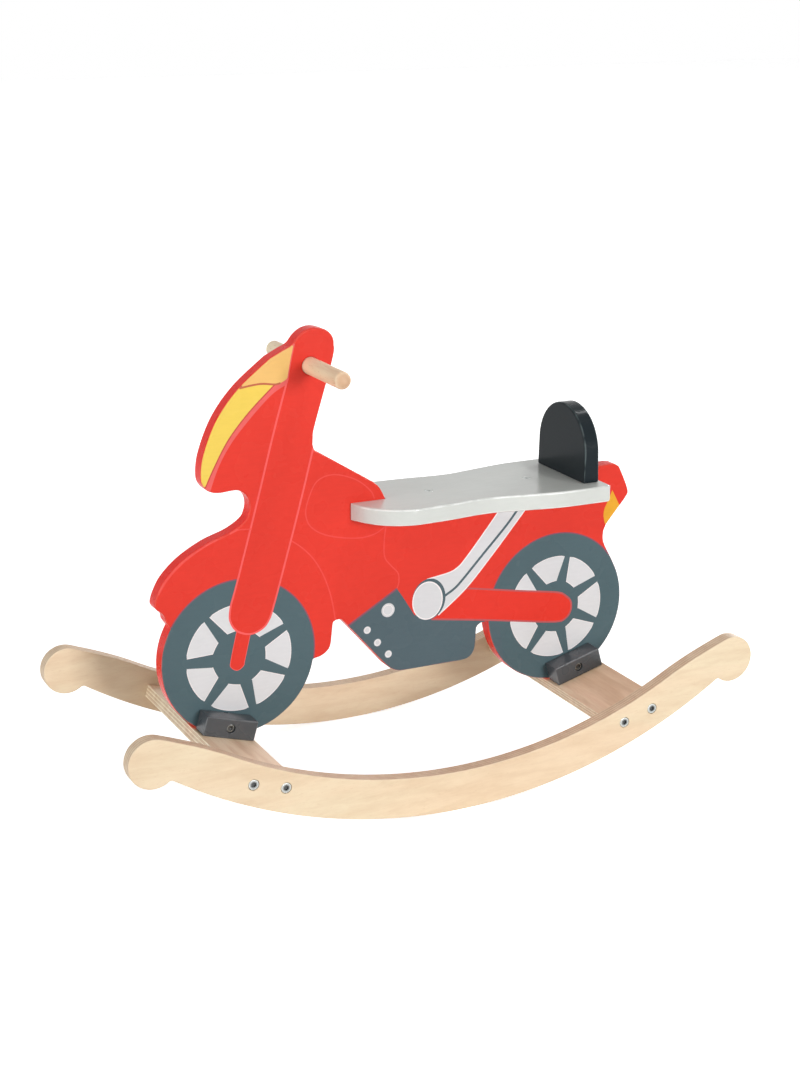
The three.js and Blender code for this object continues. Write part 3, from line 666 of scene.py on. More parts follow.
def body_outline():
    """Counter-clockwise from the front wheel: engine, rear wheel, tail, seat bed, tank, head."""
    nose = laid_out(ENGINE_NOSE_SHARES, -AXLE_X, WHEELBASE, AXLE_HEIGHT, ENGINE_DEPTH)
    heel_x = AXLE_X - WHEEL_RADIUS - ENGINE_GAP
    heel = laid_out(ENGINE_HEEL_SHARES, heel_x, ENGINE_GAP, AXLE_HEIGHT, ENGINE_DEPTH)
    roof = math.degrees(math.asin(ENGINE_ROOF / WHEEL_RADIUS)) - 180
    tail = laid_out(TAIL_SHARES, SEAT_REAR, TAIL_LENGTH, SEAT_HEIGHT, TAIL_LENGTH)
    behind_seat = SEAT_REAR + TOUCH_GAP
    bed = [(behind_seat, tail[-1, 1]), (behind_seat, SEAT_BED), (TANK_REAR, SEAT_BED),
           (TANK_REAR, SEAT_HEIGHT)]
    fairing = laid_out(FAIRING_SHARES, -AXLE_X, WHEELBASE, FENDER_TOP, BODY_HEIGHT - FENDER_TOP)
    return joined(
        wheel_arc(-1, FRONT_WHEEL_START, FRONT_WHEEL_END), bent(near_wheel(-1, LOBE_SHARES)),
        bent(nose), bent(heel), wheel_arc(1, roof, REAR_WHEEL_END),
        bent(near_wheel(1, TAIL_ROOT_SHARES)), tail[:1], bent(tail[1:]), bed,
        bent(above_seat(TANK_SHARES)), bent(above_seat(TANK_TOP_SHARES)),
        bent(above_seat(HEAD_SHARES)), bent(np.vstack((fairing, near_wheel(-1, FENDER_SHARES)))),
    )


body_loop = body_outline()
handlebar_x, handlebar_z = above_seat([HANDLEBAR_PLACE_SHARES])[0]
print("outline of", len(body_loop), "points, up to", round(body_loop[:, 1].max(), 4))

# %% [markdown]
# ## The artwork
# The motorcycle's parts are printed on both flat faces in flat colours with thin lines. On the
# real toy the print runs a little over the eased edge, and the walls are plain red all round. It
# could be drawn in a shader with distances to curves, but a line that is part of the mesh stays
# sharp at any size and survives every export. The artist's squared paper has one square for each
# hundredth of the wheelbase, counted from the floor under the middle of the toy. The wheels are
# drawn with shares of their own radius. A later shape is painted over the ones before it.

# %% Squared paper and brush
SQUARE = WHEELBASE / 100
FINE_LINE = 0.0023
HAIR_LINE = 0.0015


def drawn(points):
    return np.array(points, float) * SQUARE


def through(*runs):
    """Runs of pins, each bent on its own, that share the pins where they meet."""
    return np.vstack([bent(runs[0])] + [bent(run)[1:] for run in runs[1:]])


def ellipse(centre, half_x, half_z, steps=48):
    """Centre plus (half_x cos, half_z sin)."""
    turn = np.linspace(0, 2 * math.pi, steps, endpoint=False)
    return np.asarray(centre) + np.column_stack((half_x * np.cos(turn), half_z * np.sin(turn)))


artwork = []


def lay(paint, *runs):
    """Paints the shape inside a loop that is made of runs of points."""
    artwork.append((np.vstack(runs), PAINT_NUMBER[paint]))


def lay_line(paint, width, points, closed=False):
    """Paints a line: its points moved to either side by half its width."""
    if closed:
        along = np.roll(points, -1, axis=0) - np.roll(points, 1, axis=0)
    else:
        along = np.gradient(points, axis=0)
    along /= np.linalg.norm(along, axis=1)[:, None]
    aside = np.column_stack((-along[:, 1], along[:, 0])) * width / 2
    lay(paint, points + aside, (points - aside)[::-1])


lay("red", drawn([(-90, 0), (90, 0), (90, 140), (-90, 140)]))

# %% Painted wheels
RIM_SHARE = 0.68
HUB_SHARE = 0.355
WINDOW_STARTS = {"rear": [-21.5, 29.5, 79.5, 131.0, 188.0, 238.5, 288.5],
                 "front": [-21.0, 30.5, 80.0, 130.0, 183.5, 236.0, 288.0]}
WINDOW_SPAN = 42.5
HUB_SPAN = 24.5
WHEEL_STEPS = 120


def window(centre, start):
    """The light between two spokes: an arc near the rim and a shorter one at the hub."""
    hub_start = start + (WINDOW_SPAN - HUB_SPAN) / 2
    outer = arc(centre, RIM_SHARE * WHEEL_RADIUS, start, start + WINDOW_SPAN, step=4)
    inner = arc(centre, HUB_SHARE * WHEEL_RADIUS, hub_start + HUB_SPAN, hub_start, step=6)
    return np.vstack((outer, inner))


for end, side in ENDS.items():
    centre = (side * AXLE_X, AXLE_HEIGHT)
    for paint, grown in (("plum", HAIR_LINE / 2), ("tyre", -HAIR_LINE / 2)):
        lay(paint, ellipse(centre, WHEEL_RADIUS + grown, WHEEL_RADIUS + grown, WHEEL_STEPS))
    for start in WINDOW_STARTS[end]:
        lay_line("outline", HAIR_LINE, window(centre, start), closed=True)
        lay("silver", window(centre, start))
print(len(artwork), "painted shapes so far")

# %% Painted windscreen
SCREEN_REAR = drawn([(-32.3, 126), (-33.3, 122.1), (-34.4, 116.6)])
SCREEN_SPLIT = drawn([(-34.4, 116.6), (-37.5, 115.3), (-42.4, 115.8), (-48.4, 115.1), (-53, 113.6)])
YELLOW_REAR = drawn([(-38, 115.4), (-45.7, 108.4), (-51.6, 101.6), (-56, 94.2), (-59.3, 87.5)])
BAND_REAR = drawn([(-34.9, 114.9), (-39.2, 112.5), (-45.4, 106.7), (-50.9, 100.5), (-54.8, 94.1),
                   (-57.9, 86)])
BAND_TOP = drawn([(-34.4, 117.5)])
BAND_OUTSIDE = drawn([(-50, 118)])
SCREEN_OUTSIDE = drawn([(-64, 86), (-64, 106), (-50, 124), (-36, 132)])

split = bent(SCREEN_SPLIT)
lay("band", BAND_TOP, bent(BAND_REAR), SCREEN_OUTSIDE[:2], BAND_OUTSIDE)
lay("yellow", split[BENT_STEPS:], SCREEN_OUTSIDE[1::-1], bent(YELLOW_REAR)[::-1])
lay_line("rose", HAIR_LINE, bent(YELLOW_REAR))
lay("peach", through(SCREEN_REAR, SCREEN_SPLIT), SCREEN_OUTSIDE[2:])
lay_line("brown", FINE_LINE, split[BENT_STEPS - 2:])
lay_line("band", HAIR_LINE, bent(SCREEN_REAR))

# %% [markdown]
# The fork is a broad red leg from the tank down to the hub, edged with a pink line, with the axle
# stem under it. Its two sides and its round foot are bent on their own, so that the foot stays
# round and the sides stay straight.

# %% Painted fork
FORK_FRONT = drawn([(-34.4, 116.6), (-38.7, 102.3), (-43.9, 83.4), (-49.7, 63.2), (-52.1, 55.5)])
FORK_REAR = drawn([(-39.9, 52.5), (-37.4, 60.7), (-31.8, 79.9), (-27.3, 96.6)])
FORK_FOOT = drawn([(-52.1, 55.5), (-52.5, 51.6), (-51, 48.4), (-48.4, 46.8), (-45.6, 46.5),
                   (-42.6, 47.8), (-40.9, 50), (-39.9, 52.5)])
FORK_TOP = drawn([(-29, 110)])
STEM = drawn([(-50.3, 48.5), (-52.4, 39.6), (-52.3, 37.6), (-50.6, 36.6), (-48.9, 37.6),
              (-48.4, 39.4), (-46.2, 48.5)])

fork_line = through(FORK_FRONT, FORK_FOOT, FORK_REAR)
lay_line("pink", HAIR_LINE, bent(STEM))
lay("red", bent(STEM))
lay("red", fork_line, FORK_TOP)
lay_line("pink", FINE_LINE, fork_line)

# %% Painted lines of the tank and the fenders
# The front fender's line runs from the fork to the eased edge, and then on along that edge to the
# fender's tip; that last stretch is partly print and partly a painted highlight on the eased edge.
FRONT_FENDER = drawn([(-45.5, 76.3), (-47.4, 76.4), (-49, 76.5), (-50.1, 76.3), (-51.4, 75.8),
                      (-54, 75), (-59.1, 73), (-64.1, 70.2), (-67.5, 67.6), (-70.1, 64.9),
                      (-71.9, 62.3), (-72.9, 60.6)])
REAR_FENDER = drawn([(-34, 71.4), (-30.7, 68.8), (-27.3, 65), (-24.4, 59.7), (-22.3, 53.4),
                     (-21, 46)])
TANK_LINE = drawn([(-9, 80.3), (-10.3, 82.9), (-14.8, 86.5), (-21.2, 88.6), (-26.1, 87.4),
                   (-28.6, 83.2), (-29.7, 78.6), (-28.1, 74.5), (-22.9, 71.4), (-14.3, 69.6),
                   (-8.6, 70.2), (-5, 72.5)])
SIDE_LINE = drawn([(-5.4, 72.5), (-6, 67.5), (-5.8, 62.9), (-3.8, 60.1), (-1.7, 57.7), (-1.4, 55.1),
                   (-2, 53.1)])
for line in (FRONT_FENDER, REAR_FENDER, TANK_LINE, SIDE_LINE):
    lay_line("coral", HAIR_LINE, bent(line))

# %% Painted engine
ENGINE_FRONT = drawn([(-17.4, 44.2), (-2, 53.1)])
ENGINE_REAR = drawn([(-2, 53.1), (-0.1, 50.3), (3.6, 44.3), (8, 44.6), (13, 42), (31, 38.8),
                     (34, 20), (-17.4, 20)])
BIG_DOT_RADIUS = 0.0087
SMALL_DOT_RADIUS = 0.0047
BIG_DOT = (-4.8, 47.1)
SMALL_DOTS = [(-11.3, 42.1), (-8.1, 37.9), (-4.7, 33.9)]
DOT_EDGE_SHARE = 0.72

lay("slate", ENGINE_FRONT, ENGINE_REAR)
lay_line("plum", FINE_LINE, ENGINE_FRONT)
for place, radius in [(BIG_DOT, BIG_DOT_RADIUS)] + [(dot, SMALL_DOT_RADIUS) for dot in SMALL_DOTS]:
    edge = radius * DOT_EDGE_SHARE
    lay("silver", ellipse(drawn(place), radius, radius))
    lay_line("outline", HAIR_LINE / 2, ellipse(drawn(place), edge, edge), closed=True)

# %% Painted swing arm
ARM_TOP = drawn([(9.5, 51.3), (20, 50), (36.5, 46.9), (50, 44.5), (53, 43.3)])
ARM_END = drawn([(53, 43.3), (55, 41.4), (55.5, 39.1), (54.7, 36.9), (52.7, 35.4), (50.3, 35.3)])
ARM_FOOT = drawn([(50.3, 35.3), (44.4, 36.2), (26.2, 39.5), (9, 42.3)])
arm_line = through(ARM_TOP, ARM_END, ARM_FOOT)
lay("scarlet", arm_line)
lay_line("mauve", FINE_LINE, arm_line)

# %% Painted exhaust
PIPE_FRONT = drawn([(7.5, 54.5), (14.4, 55.5), (17.1, 56.6), (19.4, 58.6), (25.3, 65.5),
                    (32, 73.8)])
PIPE_REAR = drawn([(43, 75.8), (36, 67.6), (28.2, 58.7), (20, 50), (11.2, 43.2)])
PIPE_STRIPE = drawn([(38.2, 73.6), (33.2, 67.5), (25.4, 59.5), (19, 52.9), (16.3, 50.5),
                     (12.9, 48.6)])
PIPE_END = drawn((7.7, 48.1))
PIPE_END_HALF_X = 0.0206
PIPE_END_HALF_Z = 0.0242
PIPE_SHADE = 0.0018
PIPE_SHADE_SHIFT = (0.0019, 0.0016)
STRIPE_WIDTH = 0.0031

lay("silver", bent(PIPE_FRONT), bent(PIPE_REAR))
for line in (PIPE_FRONT, PIPE_REAR):
    lay_line("outline", HAIR_LINE, bent(line))
lay_line("slate", STRIPE_WIDTH, bent(PIPE_STRIPE))
for paint, shift, grown in (("slate", PIPE_SHADE_SHIFT, PIPE_SHADE), ("outline", (0, 0), 0),
                            ("silver", (0, 0), -HAIR_LINE)):
    lay(paint, ellipse(PIPE_END + shift, PIPE_END_HALF_X + grown, PIPE_END_HALF_Z + grown))

# %% Painted tail lamp
TAIL_LAMP = drawn([(68.4, 73.5), (66.8, 69.9), (65.9, 68), (65.7, 65.7), (66.6, 62.5)])
LAMP_REAR = drawn([(73, 60), (77, 66), (71.2, 68.3)])
lay("amber", bent(TAIL_LAMP), LAMP_REAR)
print(len(artwork), "painted shapes in all")

# %% [markdown]
# ## The body board
# The outline, the artwork and the hole for the handlebar come together in one board. Its place
# is upright: the outline's second axis is the toy's height, and the board's depth runs along Y.

# %% The body board
BOARD_EASE = 0.002
HANDLEBAR_RADIUS = 0.01
HANDLEBAR_FIT = 0.0005
HOLE_EASE = 0.0006
WHEEL_BOLT_RISE = 0.012
WHEEL_BOLT_DROP = SLAT_TOP - TOUCH_GAP - WHEEL_BOLT_RISE
WHEEL_BOLT_HOLE_RADIUS = 0.0045


def station(side, points):
    """Points of a wheel's own frame in the toy's axes: the frame is turned about Y by the tilt of
    its slat, its origin is on the axle, and -Z runs to the foot of the wheel."""
    points = np.asarray(points, float)
    x, y, z = points[..., 0], points[..., 1], points[..., 2]
    cosine, sine = math.cos(SLAT_TILT), math.sin(SLAT_TILT)
    return np.stack((side * AXLE_X + x * cosine - side * z * sine, y,
                     AXLE_HEIGHT + side * x * sine + z * cosine), axis=-1)


def upright(y=0.0):
    """Board axes (u, v, w) to the toy's (x, z, y), with the middle of the board at a y."""
    return lambda points: points[:, (0, 2, 1)] + (0, y, 0)


def round_hole(centre, radius):
    return arc(centre, radius, 360, 0, step=360 / TURN_STEPS)[:-1]


hole_sizes = [((handlebar_x, handlebar_z), HANDLEBAR_RADIUS + HANDLEBAR_FIT)]
hole_sizes += [(station(side, (0, 0, -WHEEL_BOLT_DROP))[[0, 2]], WHEEL_BOLT_HOLE_RADIUS)
               for side in ENDS.values()]
body = make_board("body_board", "painted", body_loop, BOARD_THICKNESS, BOARD_EASE, upright(),
                  holes=[(round_hole(*size), HOLE_EASE) for size in hole_sizes],
                  paints=artwork, palette=list(PAINTS.values()))

# %% [markdown]
# ## The seat
# The seat is a board with a round nose, a waist and a wide rear. A slot in its nose takes the rear
# of the tank, and two countersunk screws hold it down on the body board. Two more come up through
# it into the backrest. It lies flat, with its near face up, so its outline is drawn in X and Y.

# %% Screw holes and sizes
SCREW_LIP = 0.0006
HOLE_CLEARANCE = 0.0003
HEAD_CLEARANCE = 0.0004
SCREW_RIM_SHARE = 0.25
SEAT_SCREW = {"radius": 0.0023, "head": 0.0046, "length": 0.048}
BACKREST_SCREW = {"radius": 0.0023, "head": 0.0046, "length": 0.050}
BLOCK_SCREW = {"radius": 0.002, "head": 0.004, "length": 0.030}
SCREW_POINT = 0.006


def countersink(screw, thickness):
    """The profile of a countersunk hole through a board, from the far face to the near one."""
    shank, head = screw["radius"] + HOLE_CLEARANCE, screw["head"] + HEAD_CLEARANCE
    top = shank * SCREW_RIM_SHARE
    return [(shank + SCREW_LIP, thickness), (shank, thickness), (shank, top + head - shank),
            (head, top), (head, 0), (head + SCREW_LIP, 0)]


def counterbore(shank, head, depth, thickness):
    """The profile of a hole through a board with a flat-bottomed recess for a bolt's head."""
    return [(shank + SCREW_LIP, thickness), (shank, thickness), (shank, depth), (head, depth),
            (head, 0), (head + SCREW_LIP, 0)]


# %% Outline of the seat
SEAT_NOSE_RADIUS = 0.0665
SEAT_WAIST_WIDTH = 0.119
SEAT_CORNER_RADIUS = 0.006
SEAT_EASE = 0.0025
SLOT_EASE = 0.0006
SEAT_SIDE_SHARES = [(0.975, 1), (0.8, 0.99), (0.68, 0.84), (0.45, 0.15), (0.37, 0), (0.28, 0.06),
                    (0.17, 0.28)]
SEAT_SCREW_X = [SEAT_FRONT + inset for inset in (0.108, 0.242)]
BACKREST_SCREW_SPACING = 0.062
nose_x = SEAT_FRONT + SEAT_NOSE_RADIUS
backrest_x = (backrest_low.x + backrest_high.x) / 2


def seat_side():
    """The right side of the seat, from its rear corner to where the round nose begins."""
    half, waist = SEAT_WIDTH / 2, SEAT_WAIST_WIDTH / 2
    corner = arc((SEAT_REAR - SEAT_CORNER_RADIUS, half - SEAT_CORNER_RADIUS), SEAT_CORNER_RADIUS,
                 0, 90, step=10)
    pins = laid_out(SEAT_SIDE_SHARES, nose_x, SEAT_REAR - nose_x, waist, half - waist)
    return np.vstack((corner, bent(np.vstack((pins, [(nose_x, SEAT_NOSE_RADIUS)])))))


def seat_outline():
    """Counter-clockwise from the rear right corner, with the slot for the tank in the nose."""
    slot_half = BOARD_THICKNESS / 2 + TOUCH_GAP
    slot_end = SEAT_FRONT + SEAT_SLOT_DEPTH
    mouth = math.degrees(math.asin(slot_half / SEAT_NOSE_RADIUS))
    nose = arc((nose_x, 0), SEAT_NOSE_RADIUS, 90, 180 - mouth)
    side = np.vstack((seat_side(), nose[1:], [(slot_end, slot_half)]))
    return joined(side, (side * (1, -1))[::-1])


seat_loop = seat_outline()
in_slot = (np.abs(seat_loop[:, 1]) < BOARD_THICKNESS) & (seat_loop[:, 0] < nose_x)
seat_ease = np.where(in_slot, SLOT_EASE, SEAT_EASE)


# %% The seat
def lying(height):
    """Board axes (u, v, w) to the toy's (x, y, -z), with the middle of the board at a height."""
    return lambda points: np.column_stack((points[:, 0], points[:, 1], height - points[:, 2]))


seat_sunk = [(-1, (x, 0), countersink(SEAT_SCREW, SEAT_THICKNESS)) for x in SEAT_SCREW_X]
seat_sunk += [(1, (backrest_x, side * BACKREST_SCREW_SPACING / 2),
               countersink(BACKREST_SCREW, SEAT_THICKNESS)) for side in FLANKS.values()]
seat = make_board("seat", "painted", seat_loop, SEAT_THICKNESS, seat_ease,
                  lying(SEAT_HEIGHT - SEAT_THICKNESS / 2), sunk=seat_sunk)

# %% [markdown]
# ## The backrest
# A straight-sided board with a round top, standing across the seat. Its near face is the front
# one, so its outline runs along -Y and up.

# %% The backrest
BACKREST_EASE = 0.0025
backrest_half = (backrest_high.y - backrest_low.y) / 2
shoulder = backrest_high.z - backrest_half
backrest_loop = joined([(-backrest_half, backrest_low.z), (backrest_half, backrest_low.z)],
                       arc((0, shoulder), backrest_half, 0, 180))
at_foot = backrest_loop[:, 1] < backrest_low.z + BACKREST_EASE


def facing_front(points):
    """Board axes (u, v, w) to the toy's (-y, z, x)."""
    return np.column_stack((backrest_x + points[:, 2], -points[:, 0], points[:, 1]))


backrest_ease = np.where(at_foot, SLOT_EASE, BACKREST_EASE)
backrest = make_board("backrest", "painted", backrest_loop, backrest_high.x - backrest_low.x,
                      backrest_ease, facing_front)

# %% [markdown]
# ## The rockers
# A rocker is three arcs with one centre, high above the toy: the lower edge, the upper edge, and
# the path of a bulb's middle. A bulb ends it at each side. A small fillet joins the lower edge to
# the bulb, and a flowing run, a cubic with two handles, leads from the bulb's top to the upper
# edge. The second half of the outline is the first one mirrored.

# %% Outline of a rocker
RUN_STEPS = 16
LONG_ARC_STEP = 0.5


def run_between(start, start_degrees, end, end_degrees):
    """A cubic from start to end: (1-t)^3 and t^3 of the ends, and 3t(1-t)^2 and 3t^2(1-t) of two
    handles, which lie along the curve's directions at its ends."""
    reach = np.linalg.norm(end - start) * RUN_HANDLE_SHARE
    leave, arrive = (arc((0, 0), reach, degrees, degrees)[0]
                     for degrees in (start_degrees, end_degrees))
    t = np.linspace(0, 1, RUN_STEPS)[:, None]
    return ((1 - t) ** 3 * start + 3 * t * (1 - t) ** 2 * (start - leave)
            + 3 * t**2 * (1 - t) * (end + arrive) + t**3 * end)


def rocker_outline():
    """One half from the middle of the lower edge round the bulb and back along the top."""
    middle = np.array((0.0, ROCKER_RADIUS))
    reach = OVERALL_LENGTH / 2 - BULB_RADIUS
    bulb_path = ROCKER_RADIUS - BULB_INSET
    swing = math.asin(reach / bulb_path)
    bulb = np.array((reach, ROCKER_RADIUS - bulb_path * math.cos(swing)))
    to_fillet, from_bulb = ROCKER_RADIUS + BULB_NOTCH_RADIUS, BULB_RADIUS + BULB_NOTCH_RADIUS
    cosine = (to_fillet**2 + bulb_path**2 - from_bulb**2) / (2 * to_fillet * bulb_path)
    fillet_swing = math.degrees(swing - math.acos(cosine))
    fillet = arc(middle, to_fillet, fillet_swing - 90, fillet_swing - 90)[0]
    to_bulb = math.degrees(math.atan2(*(bulb - fillet)[::-1]))
    lower = arc(middle, ROCKER_RADIUS, -90, fillet_swing - 90, LONG_ARC_STEP)
    notch = arc(fillet, BULB_NOTCH_RADIUS, fillet_swing + 90, to_bulb, step=8)
    bulb_round = arc(bulb, BULB_RADIUS, to_bulb - 180, 90 + BULB_START_DEGREES)
    upper = arc(middle, ROCKER_RADIUS - ROCKER_DEPTH, UPPER_ARC_END_DEGREES - 90, -90,
                LONG_ARC_STEP)
    run = run_between(bulb_round[-1], BULB_START_DEGREES, upper[0], UPPER_ARC_END_DEGREES)
    half = np.vstack((lower, notch, bulb_round, run, upper))
    return joined(half, (half * (-1, 1))[::-1])


# %% The rockers
ROCKER_EASE = 0.0015
BOLT_SPACING = 0.040
ROCKER_BOLT = {"radius": 0.003, "head": 0.0062, "height": 0.0026, "reach": 0.038}
BOLT_OFFSETS = (-BOLT_SPACING / 2, BOLT_SPACING / 2)
rocker_loop = rocker_outline()
rocker_recess = counterbore(
    ROCKER_BOLT["radius"] + HOLE_CLEARANCE, ROCKER_BOLT["head"] + HEAD_CLEARANCE,
    ROCKER_BOLT["height"] + TOUCH_GAP, ROCKER_THICKNESS)
rocker_bolt_places = [station(side, (x, 0, -SLAT_MIDDLE))[[0, 2]]
                      for side in ENDS.values() for x in BOLT_OFFSETS]
rockers = [make_board(f"{flank}_rocker", "sanded", rocker_loop, ROCKER_THICKNESS, ROCKER_EASE,
                      upright(side * (OVERALL_WIDTH - ROCKER_THICKNESS) / 2),
                      sunk=[(side, place, rocker_recess) for place in rocker_bolt_places])
           for flank, side in FLANKS.items()]

# %% [markdown]
# ## Slats and blocks
# A slat is a straight plywood board with its long edges barely eased, and a block is a short
# painted bar with rounder ones. Both are built in the frame of their wheel, whose Z axis is the
# spoke that stands on the slat, and are then turned with it.

# %% The slats
SLAT_EASE = 0.0008
BARREL_NUT = {"radius": 0.005, "setback": 0.030, "roof": 0.0025}
BLOCK_LENGTH, BLOCK_DEPTH, BLOCK_HEIGHT, BLOCK_EASE = 0.065, 0.025, 0.024, 0.0015
BLOCK_SCREW_SPACING = 0.042
BLOCK_SCREW_OFFSETS = (-BLOCK_SCREW_SPACING / 2, BLOCK_SCREW_SPACING / 2)
NUT_Y = INNER_Y - BARREL_NUT["setback"]
block_middle_y = BOARD_THICKNESS / 2 + TOUCH_GAP + BLOCK_DEPTH / 2
nut_well_radius = BARREL_NUT["radius"] + HOLE_CLEARANCE
nut_well_depth = SLAT_THICKNESS - BARREL_NUT["roof"]
nut_well = [(0, nut_well_depth), (nut_well_radius, nut_well_depth), (nut_well_radius, 0),
            (nut_well_radius + SCREW_LIP, 0)]


def rectangle(width, height):
    return np.array([(-1, -1), (1, -1), (1, 1), (-1, 1)]) * (width / 2, height / 2)


def slat_place(side):
    """Board axes (u, v, w) to the wheel's (x, y, -z), at the middle of the slat."""
    return lambda points: station(side, points * (1, 1, -1) - (0, 0, SLAT_MIDDLE))


slat_sunk = []
for side in FLANKS.values():
    slat_sunk += [(1, (x, side * NUT_Y), nut_well) for x in BOLT_OFFSETS]
    slat_sunk += [(1, (x, side * block_middle_y), countersink(BLOCK_SCREW, SLAT_THICKNESS))
                  for x in BLOCK_SCREW_OFFSETS]
slat_loop = rectangle(SLAT_WIDTH, 2 * (INNER_Y - TOUCH_GAP))
slats = [make_board(f"{end}_slat", "sanded", slat_loop, SLAT_THICKNESS, SLAT_EASE,
                    slat_place(side), corner_radius=SLAT_EASE, sunk=slat_sunk)
         for end, side in ENDS.items()]

# %% The blocks
WHEEL_BOLT = {"radius": 0.003, "head": 0.005, "height": 0.006, "recess": 0.0085}
SLEEVE_NUT = {"radius": 0.0042, "height": 0.003, "length": 0.034}


def block_place(end_side, side):
    """Board axes (u, v, w) to the wheel's (x, z, y), at the middle of the block."""
    middle = (0, side * block_middle_y, -WHEEL_BOLT_DROP)
    return lambda points: station(end_side, points[:, (0, 2, 1)] + middle)


block_recesses = {side: counterbore(shank["radius"] + HOLE_CLEARANCE,
                                    WHEEL_BOLT["head"] + HEAD_CLEARANCE,
                                    WHEEL_BOLT["recess"], BLOCK_DEPTH)
                  for side, shank in ((-1, WHEEL_BOLT), (1, SLEEVE_NUT))}
blocks = [make_board(f"{end}_{flank}_block", "painted", rectangle(BLOCK_LENGTH, BLOCK_HEIGHT),
                     BLOCK_DEPTH, BLOCK_EASE, block_place(end_side, side),
                     corner_radius=BLOCK_EASE, sunk=[(side, (0, 0), block_recesses[side])])
          for end, end_side in ENDS.items() for flank, side in FLANKS.items()]

# %% [markdown]
# ## The handlebar and the fasteners
# The handlebar is a dowel with domed ends, a quarter ellipse turned round its axis. The fasteners
# are bought zinc-plated ones: bolts with hexagon sockets, screws with crosses, barrel nuts with a
# slot and sleeve nuts. Each is one profile that starts in the middle of its socket.

# %% The handlebar
HANDLEBAR_DOME = 0.007
DOME_STEPS = 12
handlebar_low, handlebar_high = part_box("handlebar")
handlebar_half = (handlebar_high.y - handlebar_low.y) / 2
quarter = np.radians(np.linspace(0, 90, DOME_STEPS))
dome = np.column_stack((HANDLEBAR_RADIUS * np.sin(quarter),
                        HANDLEBAR_DOME * (1 - np.cos(quarter))))
far_dome = (dome * (1, -1) + (0, 2 * handlebar_half))[::-1]


def make_turned(solid, finish, profile, start, inward, shape=None, shade_and_dirt=(0, 1)):
    """A turned piece whose profile starts at a point and runs inward. Its marks are the painted
    shade, with some dirt, on the outside and in the socket, and how far the surface faces along the
    axis."""
    side_a = np.cross(inward, (1, 0, 0))
    side_a /= np.linalg.norm(side_a)
    rows, _, quads = turned(profile, start, side_a, np.cross(inward, side_a), shape)
    section, facing = eased_profile(profile)
    marks = {"shade_and_dirt": shade_and_dirt[0] + (shade_and_dirt[1] - shade_and_dirt[0]) * section[:, 2], "end": np.abs(facing[:, 1])}
    marks = {mark: np.repeat(values, rows.shape[1]) for mark, values in marks.items()}
    return make_piece(solid, finish, rows.reshape(-1, 3), polygons(quads), marks)


handlebar = make_turned("handlebar", "sanded", np.vstack((dome, far_dome)).tolist(),
                        (handlebar_x, -handlebar_half, handlebar_z), (0.0, 1.0, 0.0))


# %% Profiles of the fasteners
SOCKET_RADIUS, SOCKET_DEPTH = 0.0029, 0.002
CROSS_REACH_SHARE, CROSS_DEPTH = 0.55, 0.0014
NUT_SLOT_MARGIN, NUT_SLOT_DEPTH = 0.0005, 0.0012
BOLT_RIM = 0.0006


def bolt_profile(head, height, shank, length):
    return [(0, SOCKET_DEPTH, 1), (SOCKET_RADIUS, SOCKET_DEPTH, 1), (SOCKET_RADIUS, 0, 1),
            (head - BOLT_RIM, 0), (head, BOLT_RIM), (head, height), (shank, height),
            (shank, length), (0, length)]


def screw_profile(screw):
    radius, head, length = screw["radius"], screw["head"], screw["length"]
    reach, top = head * CROSS_REACH_SHARE, radius * SCREW_RIM_SHARE
    return [(0, CROSS_DEPTH, 1), (reach, CROSS_DEPTH, 1), (reach, 0, 1), (head, 0), (head, top),
            (radius, top + head - radius), (radius, length - SCREW_POINT), (0, length)]


# %% Screws of the seat and the backrest
# The crosses of the seat screws get only a little painted shade.
SHADED_CROSS = (0, 0.4)
fasteners = []


def plate(solid, profile, start, inward, shape, shade_and_dirt=(0, 1)):
    """A plated fastener for the node of that name."""
    fasteners.append(make_turned(solid, "plated", profile, start, inward, shape, shade_and_dirt))


for end, x in zip(ENDS, SEAT_SCREW_X):
    plate(f"{end}_seat_screw", screw_profile(SEAT_SCREW), (x, 0, SEAT_HEIGHT - TOUCH_GAP),
          (0.0, 0.0, -1.0), cross, SHADED_CROSS)
for flank, side in FLANKS.items():
    foot = (backrest_x, side * BACKREST_SCREW_SPACING / 2, SEAT_HEIGHT - SEAT_THICKNESS + TOUCH_GAP)
    plate(f"{flank}_backrest_screw", screw_profile(BACKREST_SCREW), foot, (0.0, 0.0, 1.0), cross)

# %% Fasteners of the slats
slat_foot = -SLAT_TOP - SLAT_THICKNESS + TOUCH_GAP
rocker_bolt_profile = bolt_profile(
    ROCKER_BOLT["head"], ROCKER_BOLT["height"] - TOUCH_GAP, ROCKER_BOLT["radius"],
    ROCKER_THICKNESS - TOUCH_GAP + ROCKER_BOLT["reach"])
nut_length = nut_well_depth - 2 * TOUCH_GAP
nut_face = BARREL_NUT["radius"] - NUT_SLOT_MARGIN
nut_profile = [(0, NUT_SLOT_DEPTH, 1), (nut_face, NUT_SLOT_DEPTH, 1), (nut_face, 0, 1),
               (BARREL_NUT["radius"], 0), (BARREL_NUT["radius"], nut_length), (0, nut_length)]
for end, end_side in ENDS.items():
    up_spoke = station(end_side, (0, 0, 1)) - station(end_side, (0, 0, 0))
    for flank, side in FLANKS.items():
        for i, x in enumerate(BOLT_OFFSETS, 1):
            bolt = (x, side * (OVERALL_WIDTH / 2 - TOUCH_GAP), -SLAT_MIDDLE)
            plate(f"{end}_{flank}_rocker_bolt_{i}", rocker_bolt_profile, station(end_side, bolt),
                  (0.0, -side, 0.0), hexagon)
            nut = (x, side * NUT_Y, slat_foot)
            plate(f"{end}_{flank}_barrel_nut_{i}", nut_profile, station(end_side, nut),
                  up_spoke, slot)
        for i, x in enumerate(BLOCK_SCREW_OFFSETS, 1):
            screw = (x, side * block_middle_y, slat_foot)
            plate(f"{end}_{flank}_block_screw_{i}", screw_profile(BLOCK_SCREW),
                  station(end_side, screw), up_spoke, cross)

